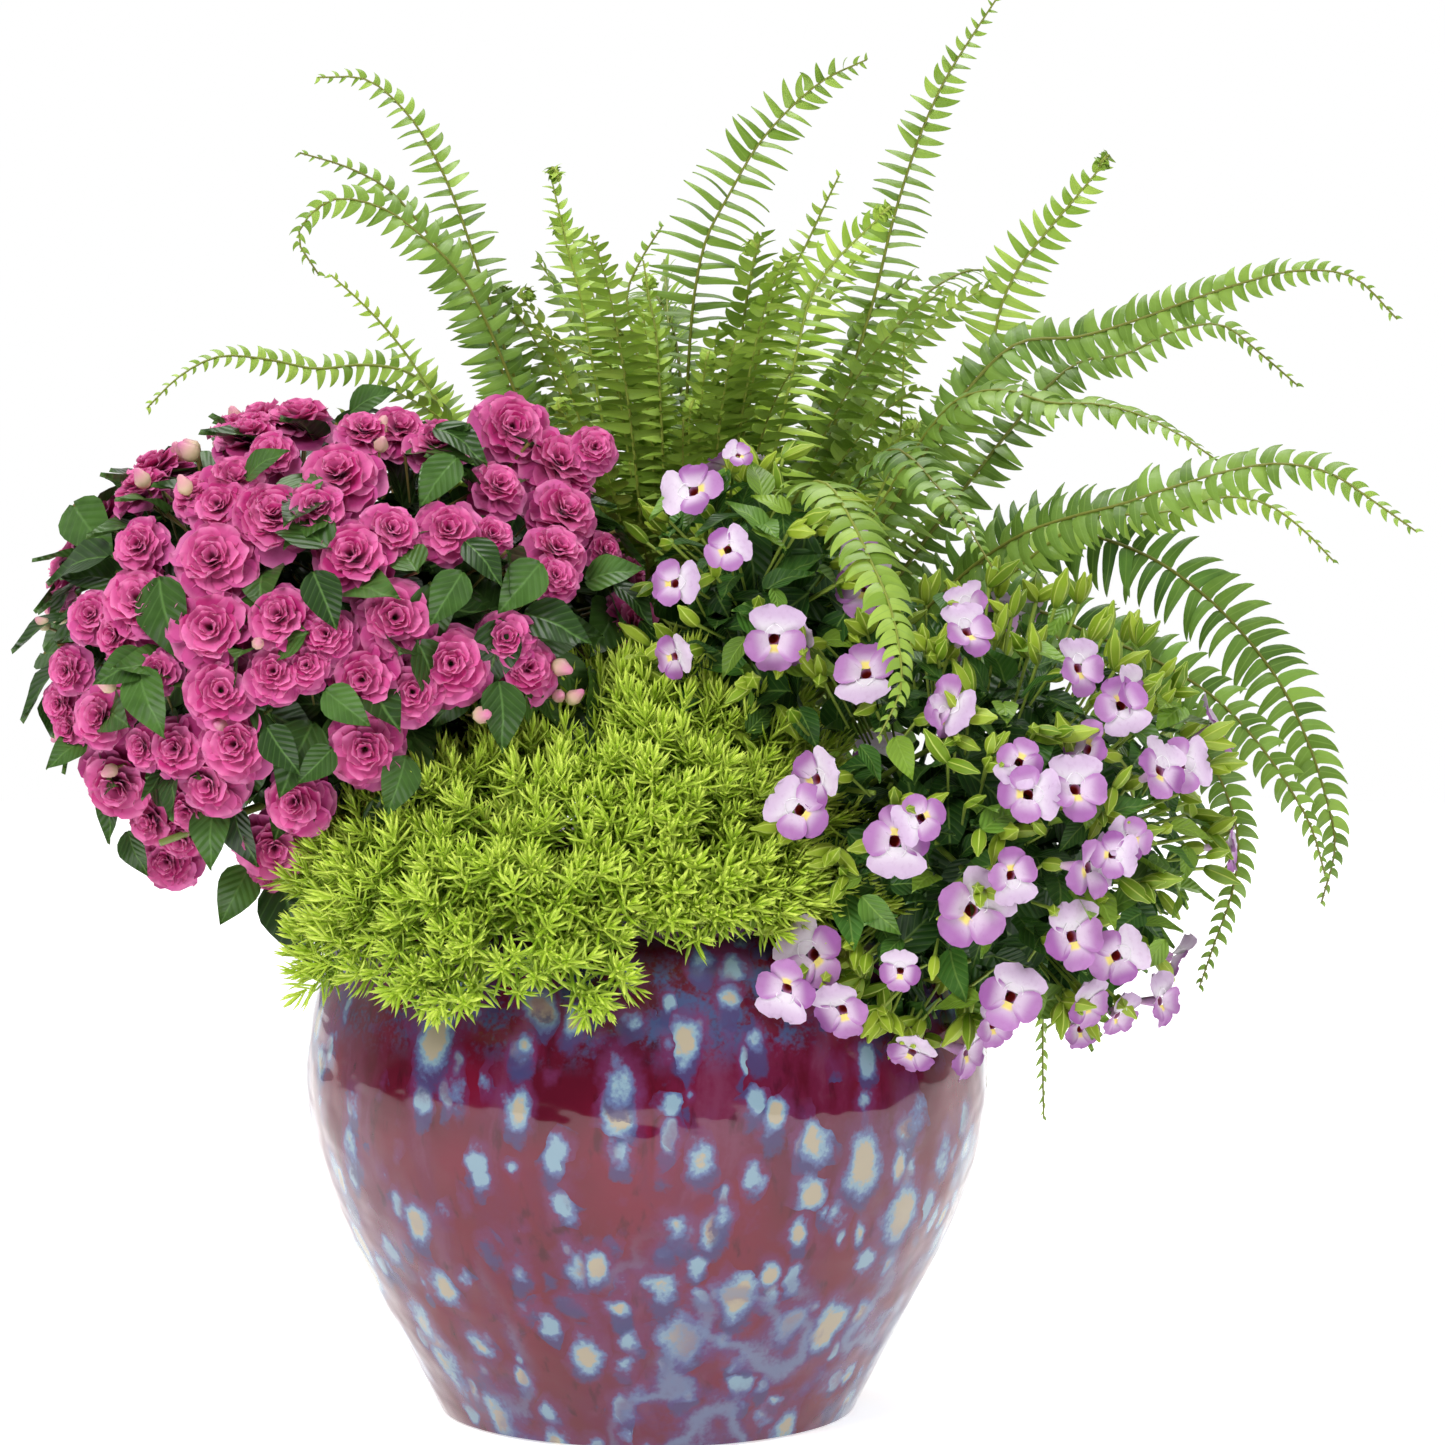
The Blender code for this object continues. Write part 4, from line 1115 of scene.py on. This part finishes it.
def buildImpatiens():
    draw = random.Random(impatiens["seed"])
    mounds = impatiens["mounds"]
    middle = np.array(mounds[0][0])
    heads = headMiddles("impatiens_shoot_")
    petal = petalShape()
    blooms = [bloomShape(petal, seed) for seed in range(5)]
    leaf, bud, stick = ovalLeaf(0.66, 0.16), budShape(), plainStick()
    leafColours = veinedLeaf("impatiensLeaf", ("1C3411", "486C2C", "5A7E3E", "4F8034"), 0.36, 0.12)
    petals = petalMaterial()
    budColours = simpleMaterial("impatiensBud", "DCD9A0", "D678A8", 0.45, 0.25, 60.0)
    stemColours = simpleMaterial("impatiensStem", "6E7A3A", "7C5A3A", 0.45, 0.1)
    greens = {name: newBunch() for name in heads}
    flowers = {name: newBunch() for name in heads}
    budBunch, stems = newBunch(), newBunch()

    def addBloom(place, outward, width):
        place = clearOfPot(place, 0.016)
        face = unit(outward + jitter(draw, 0.3, (-0.3, 0.1), (-0.1, 0.35)))
        bloom = draw.choice(blooms)
        turn = spun(face, draw.uniform(0, fullTurn), width / 2 * impatiens["bloomScale"])
        addCopy(flowers[nearest(heads, place)], bloom, turn, place - face * width * 0.1)
        foot = place - face * 0.03 + (0, 0, -0.015)
        addStick(stems, stick, place - face * width * 0.25, foot, impatiens["stalkRadius"])

    for right, up, width in frontBlooms:
        place, outward = moundFront(right, up, mounds)
        addBloom(place, outward * 0.75 + (0, -0.45, 0.1), width / 1000)
    for _ in range(impatiens["backBlooms"]):
        place, outward = moundSpot(draw, mounds, lambda p, d: (d[1] > 0.05 or d[2] > 0.6) and d[2] > -0.75)
        addBloom(place, outward + (0, 0, 0.2), draw.uniform(*impatiens["bloomWidth"]))
    for right, up, length, tipRight, tipUp in frontLeaves:
        place, outward = moundFront(right, up, mounds)
        place = clearOfPot(place + outward * 0.006, 0.012)
        tip, upper = unit((tipRight, -0.35, tipUp)), outward + (0, -0.4, 0.3)
        putLeaf(greens, heads, leaf, place, tip, upper, length / 1000, 0.5, draw.random())
    for _ in range(impatiens["leaves"]):
        place, outward = moundSpot(draw, mounds, lambda p, d: d[2] > -0.85)
        depth = draw.choice(impatiens["leafDepths"])
        place = clearOfPot(place - outward * depth, 0.006)
        length = draw.uniform(*impatiens["leafLength"])
        tip = unit(outward * 0.55 + jitter(draw, 1, 1, (-1.0, 0.3)))
        upper = unit(outward + (0, 0, 0.55) + jitter(draw, 0.3, 0.3, 0.3))
        # painted shade: leaves set deeper get lower tones, towards the leaf's shade colour
        putLeaf(greens, heads, leaf, place, tip, upper, length, 0.4, draw.random() * (1 - depth * 14))
        addStick(stems, stick, place - tip * length * 0.4, place * 0.75 + middle * 0.25, impatiens["stalkRadius"])
    shadeInside(draw, impatiens, greens, heads, leaf)
    for _ in range(impatiens["buds"]):
        place, outward = moundSpot(draw, mounds, lambda p, d: d[2] > -0.7)
        place = clearOfPot(place + outward * draw.uniform(-0.005, 0.006), 0.012)
        width = draw.uniform(*impatiens["budWidth"])
        axis = unit(outward + jitter(draw, 0.6, 0.6, 0.6))
        addCopy(budBunch, bud, standing(axis, width * 1.15, width * 1.2), place, draw.random())
        addStick(stems, stick, place - axis * width * 0.5, place - outward * 0.02 - (0, 0, 0.006), 0.0008)
    for name, head in heads.items():
        root = (head[0] * 0.2 - 0.055, head[1] * 0.2 - 0.02, soil["top"] - 0.004)
        plantStem(stems, root, head, impatiens["stemRadius"])
    for name in heads:
        number = name[-1]
        makePiece(f"impatiensLeaves_{number}", greens[name], leafColours, [name])
        makePiece(f"impatiensBlooms_{number}", flowers[name], petals)
    makePiece("impatiensBuds", budBunch, budColours)
    makePiece("impatiensStems", stems, stemColours)
    print("impatiens:", len(frontBlooms) + impatiens["backBlooms"], "blooms")


# ---- golden sedum
sedum = {
    "mounds": [((-0.062, -0.065, 0.262), (0.104, 0.104, 0.085)), ((0.003, -0.062, 0.285), (0.084, 0.082, 0.088))],
    "tufts": 1080, "innerTufts": 420, "tuftDepths": (0.0, 0.003, 0.007, 0.013, 0.020), "shootLength": 0.021,
    "needles": 19, "needleLength": (0.0120, 0.0165), "needleWidth": 0.0019, "needleThickness": 0.0012,
    "stemRadius": 0.0016, "seed": 31,
}


def needleShape():
    deselectAll()
    bpy.ops.mesh.primitive_cone_add(vertices=4, radius1=0.5, radius2=0.0, depth=1, end_fill_type="NOTHING",
                                    location=(0, 0, 0.5))
    startEditing()
    belly = 0.62
    cutLevel(belly)
    pickWhere(lambda co: abs(co.z - belly) < 0.01)
    widen(2.4, belly)
    bpy.ops.transform.translate(value=(0, 0.35, 0))
    pickWhere(lambda co: co.z < 0.01)
    widen(0.7, 0)
    pickWhere(lambda co: co.z > 0.99)
    bpy.ops.transform.translate(value=(0, 1.2, 0))
    shape = takeShape(endWithTriangles())
    shape["along"] = shape["verts"][:, 2].copy()
    return shape


def tuftShape(needle, seed):  # a shoot along Z, in metres
    draw = random.Random(seed)
    bunch = newBunch()
    count = sedum["needles"]
    for number in range(count):
        share = number / (count - 1)
        angle = number * 2.4 + draw.uniform(-0.3, 0.3)
        lean = math.radians(78 - 62 * share ** 1.3 + draw.uniform(-8, 8))
        out = np.array((math.cos(angle), math.sin(angle), 0))
        tip = out * math.sin(lean) + np.array((0, 0, math.cos(lean)))
        inner = -out * math.cos(lean) + np.array((0, 0, math.sin(lean)))
        length = draw.uniform(*sedum["needleLength"]) * (1 - 0.35 * share ** 3)
        turn = np.column_stack((np.cross(inner, tip) * sedum["needleWidth"], inner * sedum["needleThickness"],
                                tip * length))
        addCopy(bunch, needle, turn, (0, 0, sedum["shootLength"] * share), draw.random(), share)
    return asShape(bunch)


def sedumMaterial():
    material, shader = newMaterial("goldenSedum", 0.42, 0.45)
    tone, share, along = (layerValue(material, name) for name in ("tone", "kind", "along"))
    colour = mixOf(material, tone, "B0CE34", "E2F26E")
    # painted shade: darker green towards each shoot's base, where the shoots crowd together
    colour = tinted(material, colour, "6E9A1E", share, 0.7, 0.0, (0.0, 0.75))
    colour = tinted(material, colour, "DCEB6C", along, 0.5, 1.0, (0.0, 0.5))
    colour = tinted(material, colour, "A4C82E", noiseOf(material, 45.0), 0.4, 0.7, (0.0, 0.4))
    finishLeaf(material, shader, colour, 0.25)
    return material


def buildSedum():
    draw = random.Random(sedum["seed"])
    mounds = sedum["mounds"]
    needle = needleShape()
    tufts = [tuftShape(needle, seed) for seed in range(4)]
    heads = headMiddles("sedum_tuft_")
    bunches = {name: newBunch() for name in heads}

    def addTuft(place, axis, least, most):
        tuft = draw.choice(tufts)
        turn = spun(axis, draw.uniform(0, fullTurn), draw.uniform(least, most))
        addCopy(bunches[nearest(heads, place)], tuft, turn, place)

    for _ in range(sedum["tufts"]):
        place, outward = moundSpot(draw, mounds, lambda p, d: d[1] < 0.35 and (p[2] > 0.262 or p[1] < -0.1)
                                   and p[2] > (0.228 if p[0] < 0 else 0.256))
        place = clearOfPot(place - outward * draw.choice(sedum["tuftDepths"]), 0.005)
        axis = unit(outward * 0.8 + (jitter(draw, 0.35, (-0.35, 0.2), 0.3) + (0, 0, 0.35)))
        addTuft(place, axis, 0.85, 1.15)
    for _ in range(sedum["innerTufts"]):  # fill the carpet from below
        place, outward = moundSpot(draw, mounds, lambda p, d: d[1] < 0.5 and p[2] > 0.250)
        place = clearOfPot(place - outward * draw.uniform(0.022, 0.045), 0.005)
        addTuft(place, unit(outward + (0, -0.2, 0.5)), 1.0, 1.3)
    material = sedumMaterial()
    for name, bunch in bunches.items():
        head = heads[name]
        root = (head[0] * 0.3, head[1] * 0.3 - 0.03, soil["top"] - 0.003)
        plantStem(bunch, root, head, sedum["stemRadius"])
        makePiece(f"sedumCarpet_{name[-1]}", bunch, material, [name])
    print("sedum:", sedum["tufts"], "tufts")


# ---- torenia
torenia = {
    "mounds": [((0.150, -0.060, 0.305), (0.122, 0.105, 0.112)), ((0.050, -0.055, 0.400), (0.055, 0.070, 0.075))],
    "leaves": 900, "leafLength": (0.018, 0.032), "leafDepths": (0.0, 0.006, 0.016, 0.028, 0.042, 0.060),
    "backFlowers": 20, "flowerWidth": (0.022, 0.031), "flowerScale": 0.97, "pods": 270, "podLength": (0.013, 0.021),
    "stemRadius": 0.0022, "seed": 41,
    "innerLeaves": 300, "innerReach": (0.15, 0.7), "innerLength": (0.030, 0.042), "innerTone": 0.35,
    "lobes": (  # angle, width, length, kind, lean
        (0, 0.86, 0.48, 1.0, 10), (100, 0.50, 0.43, 2.0, 14),
        (-100, 0.50, 0.43, 2.0, 14), (180, 0.54, 0.45, 3.0, 0),
    ),
}
# flowers seen from the front: right, up, width (millimetres), how far turned about the way it faces (degrees)
frontTorenia = [
    (91, 335, 29, -60), (77, 319, 29, 60), (116, 307, 33, 180), (134, 319, 24, 120), (177, 343, 23, 160),
    (181, 327, 28, -90), (200, 326, 31, 0), (220, 345, 28, 170), (226, 365, 27, 200), (251, 335, 28, -80),
    (200, 294, 31, -70), (217, 300, 23, -90), (152, 274, 36, -40), (168, 292, 26, 190), (197, 258, 32, 10),
    (223, 248, 28, -60), (173, 229, 31, -20), (86, 248, 33, 50), (44, 240, 30, 170), (61, 228, 28, 20),
    (97, 209, 24, -30), (128, 199, 29, 10), (160, 214, 22, 0), (204, 225, 24, 15), (220, 219, 24, 0),
    (239, 217, 26, 10), (205, 207, 20, 0), (228, 305, 22, 80), (124, 246, 20, 0), (28, 460, 29, 110),
    (43, 476, 14, 60), (20, 422, 24, -80), (23, 392, 22, -70), (60, 402, 31, 0), (41, 439, 22, -60),
    (96, 431, 26, 40), (112, 417, 31, 0), (149, 395, 27, 10), (159, 408, 22, 30), (109, 377, 31, 190),
    (154, 368, 28, -110), (133, 363, 20, 0), (83, 395, 20, -30), (199, 382, 27, 0), (221, 370, 25, 0),
]


def lobeShape(notch=False):
    rows = [(0.00, 0.46, 0, 0.00), (0.20, 0.80, 0, 0.07), (0.45, 1.04, 0, 0.12), (0.68, 1.08, 0, 0.11),
            (0.87, 0.86, 0, 0.04), (1.00, 0.44, 0, -0.05)]
    ruffle, waves = (0.05, 3) if notch else (0.03, 2)
    shape = takeShape(growSheet(rows, (0.10, 0.02, 0.0, -0.02, 0.0, 0.02, 0.10), ruffle, waves), 0.54)
    if notch:
        middle = (np.abs(shape["side"]) < 0.12) & (shape["along"] > 0.95)
        shape["verts"][middle, 1] -= 0.13
    return shape


def toreniaFlower(seed):  # faces Z with its upper lip to Y; width about 1
    draw = random.Random(seed)
    bunch = newBunch()
    deselectAll()
    bpy.ops.mesh.primitive_cylinder_add(vertices=14, radius=0.115, depth=0.62, end_fill_type="NOTHING",
                                        location=(0, 0, -0.31))
    startEditing()
    for height in (-0.14, -0.32, -0.48):
        bpy.ops.mesh.select_all(action="SELECT")
        cutLevel(height)
    for height, grow in ((0.0, 0.86), (-0.14, 0.92), (-0.32, 0.72), (-0.48, 0.5), (-0.62, 0.35)):
        pickWhere(lambda co: abs(co.z - height) < 0.01)
        widen(grow, height)
    tube = takeShape(endWithTriangles())
    tube["along"] = -tube["verts"][:, 2] / 0.62
    tube["side"] = np.zeros(len(tube["verts"]))
    addCopy(bunch, tube, np.eye(3), (0, 0, 0), draw.random(), 0.0)
    throat = {**tube, "faces": tube["faces"][:, ::-1]}
    addCopy(bunch, throat, np.diag((0.9, 0.9, 1.0)), (0, 0, 0.003), 0.5, 5.0)
    lobe, lip = lobeShape(), lobeShape(True)
    for angle, width, length, kind, lean in torenia["lobes"]:
        turn = math.radians(angle + draw.uniform(-6, 6))
        out = np.array((math.sin(turn), math.cos(turn), 0))
        tilt = math.radians(lean + draw.uniform(-12, 12))
        tip = out * math.cos(tilt) + np.array((0, 0, math.sin(tilt)))
        turn = facing(tip, np.array((0, 0, 1.0)) - out * 0.1, width, length)
        addCopy(bunch, lip if kind == 1 else lobe, turn, out * 0.086 + (0, 0, 0.004 * kind), draw.random(), kind)
    for side in (-1, 1):  # two arched filaments that meet under the lip
        bends = [(0.10 * side, -0.02, -0.08), (0.16 * side, 0.10, 0.06), (0.09 * side, 0.22, 0.09),
                 (0.0, 0.27, 0.06)]
        points, _ = smoothLine(bends, np.linspace(0, 1, 7))
        addCopy(bunch, bendTube(points, np.full(7, 0.007), 4), np.eye(3), (0, 0, 0), 0.5, 4.0)
    return asShape(bunch)


def toreniaMaterial():
    material, shader = newMaterial("toreniaPetal", 0.5, 0.35)
    tone, part, along, side = (layerValue(material, name) for name in ("tone", "kind", "along", "side"))
    away = mathOf(material, "ABSOLUTE", side)
    rimShare = mathOf(material, "MAXIMUM", rangeOf(material, along, 0.1, 0.75), rangeOf(material, away, 0.35, 0.9))
    lobe = mixOf(material, rimShare, "DCC8DE", mixOf(material, tone, "9A5CA0", "B884BC"))
    lip = mixOf(material, rimShare, "E8E0EA", mixOf(material, tone, "C8ACCE", "E0D0E2"))
    spot = mathOf(material, "MULTIPLY", rangeOf(material, along, 0.34, 0.18), rangeOf(material, away, 0.42, 0.18))
    lower = mixOf(material, spot, lobe, "F3E07E")
    throat = tinted(material, "BC86B0", "C04A34", along, 0.0, 0.26)
    outside = tinted(material, "D9A8DC", "E8D6E0", along, 0.3, 0.9)
    colour = lobe
    for number, other in ((1.0, lip), (3.0, lower), (0.0, outside), (5.0, throat), (4.0, "F3F0F4")):
        isPart = addNode(material, "Math", operation="COMPARE", i0=part, i1=number, i2=0.4).outputs[0]
        colour = mixOf(material, isPart, colour, other)
    colour = tinted(material, colour, "9C559C", noiseOf(material, 420.0, 2.0), 0.5, 0.75, (0.0, 0.15))
    finishLeaf(material, shader, colour, 0.25)
    return material


def podShape():  # a calyx with five wings, along Z
    deselectAll()
    bpy.ops.mesh.primitive_uv_sphere_add(segments=20, ring_count=8, radius=0.5, location=(0, 0, 0))
    startEditing()
    for number in range(20):
        angle = 2 * math.pi * number / 20
        pickWhere(lambda co: math.hypot(co.x, co.y) > 0.02
                  and abs(math.remainder(math.atan2(co.y, co.x) - angle, 2 * math.pi)) < 0.05)
        widen(1.0 if number % 4 == 0 else 0.72 if number % 2 == 0 else 0.80, 0)
    pickWhere(lambda co: co.z > 0.28)
    widen(0.62, 0.25, 1.25)
    shape = takeShape(endWithTriangles())
    shape["along"] = shape["verts"][:, 2] + 0.5
    shape["side"] = np.hypot(shape["verts"][:, 0], shape["verts"][:, 1]) * 2
    return shape


def podMaterial():
    material, shader = newMaterial("toreniaCalyx", 0.4, 0.45)
    tone, along, wing = (layerValue(material, name) for name in ("tone", "along", "kind"))
    colour = mixOf(material, tone, "6E901E", "A6BC38")
    colour = tinted(material, colour, "C6D468", wing, 0.5, 1.0)
    colour = tinted(material, colour, "4E7A1C", along, 0.3, 0.0, (0.0, 0.5))
    finishLeaf(material, shader, colour, 0.25)
    return material


def buildTorenia():
    draw = random.Random(torenia["seed"])
    mounds = torenia["mounds"]
    flowers = [toreniaFlower(seed) for seed in range(4)]
    leaf, pod, stick = ovalLeaf(0.56, 0.14), podShape(), plainStick()
    fromWing = [abs(math.remainder(math.atan2(y, x), 2 * math.pi / 5)) for x, y, _ in pod["verts"]]
    pod["kind"] = np.array([1.0 if angle < 0.1 else 0.0 for angle in fromWing])
    heads = headMiddles("torenia_shoot_")
    leafColours = veinedLeaf("toreniaLeaf", ("22441A", "528432", "7EA04C", "A2C43E"), 0.38, 0.2)
    petals, pods = toreniaMaterial(), podMaterial()
    stemColours = simpleMaterial("toreniaStem", "7E9638", "9AAE4A", 0.45, 0.1)
    greens = {name: newBunch() for name in heads}
    blossoms, podBunch, stems = {name: newBunch() for name in heads}, newBunch(), newBunch()

    def addFlower(place, outward, width, angle):
        place = clearOfPot(place + outward * 0.013, 0.020)
        face = unit(outward)
        across = unit(np.cross((0, 0, 1), face))
        above = np.cross(face, across)
        turn = np.column_stack((across, above, face)) @ aboutZ(angle)
        addCopy(blossoms[nearest(heads, place)], draw.choice(flowers), turn * width * torenia["flowerScale"], place)
        back = place - face * width * 0.62
        addCopy(podBunch, pod, standing(face, 0.0075, 0.014), back, draw.random())
        addStick(stems, stick, back - face * 0.006, back - face * 0.02 - (0, 0, 0.01), 0.0009)

    for right, up, width, angle in frontTorenia:
        place, outward = moundFront(right, up, mounds)
        swing = 1.5 if draw.random() < 0.4 else 0.6
        facingOut = outward * 0.6 + np.array((draw.uniform(-swing, swing), -0.6, draw.uniform(-0.2, 0.5)))
        addFlower(place, unit(facingOut), width / 1000, math.radians(angle))
    for _ in range(torenia["backFlowers"]):
        place, outward = moundSpot(draw, mounds, lambda p, d: (d[1] > 0.1 or d[0] > 0.7) and d[2] > -0.6)
        addFlower(place, unit(outward + (0, 0, 0.2)), draw.uniform(*torenia["flowerWidth"]), draw.uniform(-1, 1))
    for _ in range(torenia["leaves"]):
        place, outward = moundSpot(draw, mounds, lambda p, d: d[2] > -0.9)
        depth = draw.choice(torenia["leafDepths"])
        place = clearOfPot(place - outward * depth, 0.006)
        length = draw.uniform(*torenia["leafLength"])
        tip = unit(outward * (0.3 if depth < 0.007 else 0.8) + jitter(draw, 1, 1, (-0.9, 0.5)))
        upper = unit(outward * 0.7 + (0, 0, 0.8) + jitter(draw, 0.3, 0.3, 0.3))
        young = 0.55 * draw.random() if depth < 0.005 else 0.0
        # painted shade: leaves set deeper get lower tones, towards the leaf's shade colour
        putLeaf(greens, heads, leaf, place, tip, upper, length, 0.35, draw.random() * (1 - depth * 15), young)
    shadeInside(draw, torenia, greens, heads, leaf)
    for _ in range(torenia["pods"]):
        place, outward = moundSpot(draw, mounds, lambda p, d: d[2] > -0.85)
        place = clearOfPot(place + outward * draw.uniform(-0.010, 0.009), 0.014)
        for _ in range(draw.choice((1, 2, 3))):
            axis = unit(outward + jitter(draw, 0.9, 0.9, 0.8))
            length = draw.uniform(*torenia["podLength"])
            spot = clearOfPot(place + axis * length * 0.45, 0.010)
            addCopy(podBunch, pod, standing(axis, length * draw.uniform(0.36, 0.46), length), spot, draw.random())
        addStick(stems, stick, place, place - outward * 0.028 - (0, 0, 0.008), 0.0010)
    for name, head in heads.items():
        root = (head[0] * 0.2 + 0.04, head[1] * 0.2 - 0.025, soil["top"] - 0.004)
        plantStem(stems, root, head, torenia["stemRadius"])
    for name in heads:
        number = name[-1]
        makePiece(f"toreniaLeaves_{number}", greens[name], leafColours, [name])
        makePiece(f"toreniaFlowers_{number}", blossoms[name], petals)
    makePiece("toreniaCalyces", podBunch, pods)
    makePiece("toreniaStems", stems, stemColours)
    print("torenia:", len(frontTorenia) + torenia["backFlowers"], "flowers")


buildPot()
buildSoil()
buildImpatiens()
buildSedum()
buildTorenia()

counts = {obj.name: sum(len(p.vertices) - 2 for p in obj.data.polygons)
          for obj in bpy.data.objects if obj.type == "MESH"}
print("triangles:", sum(counts.values()), "largest:", sorted(counts.items(), key=lambda c: -c[1])[:4])
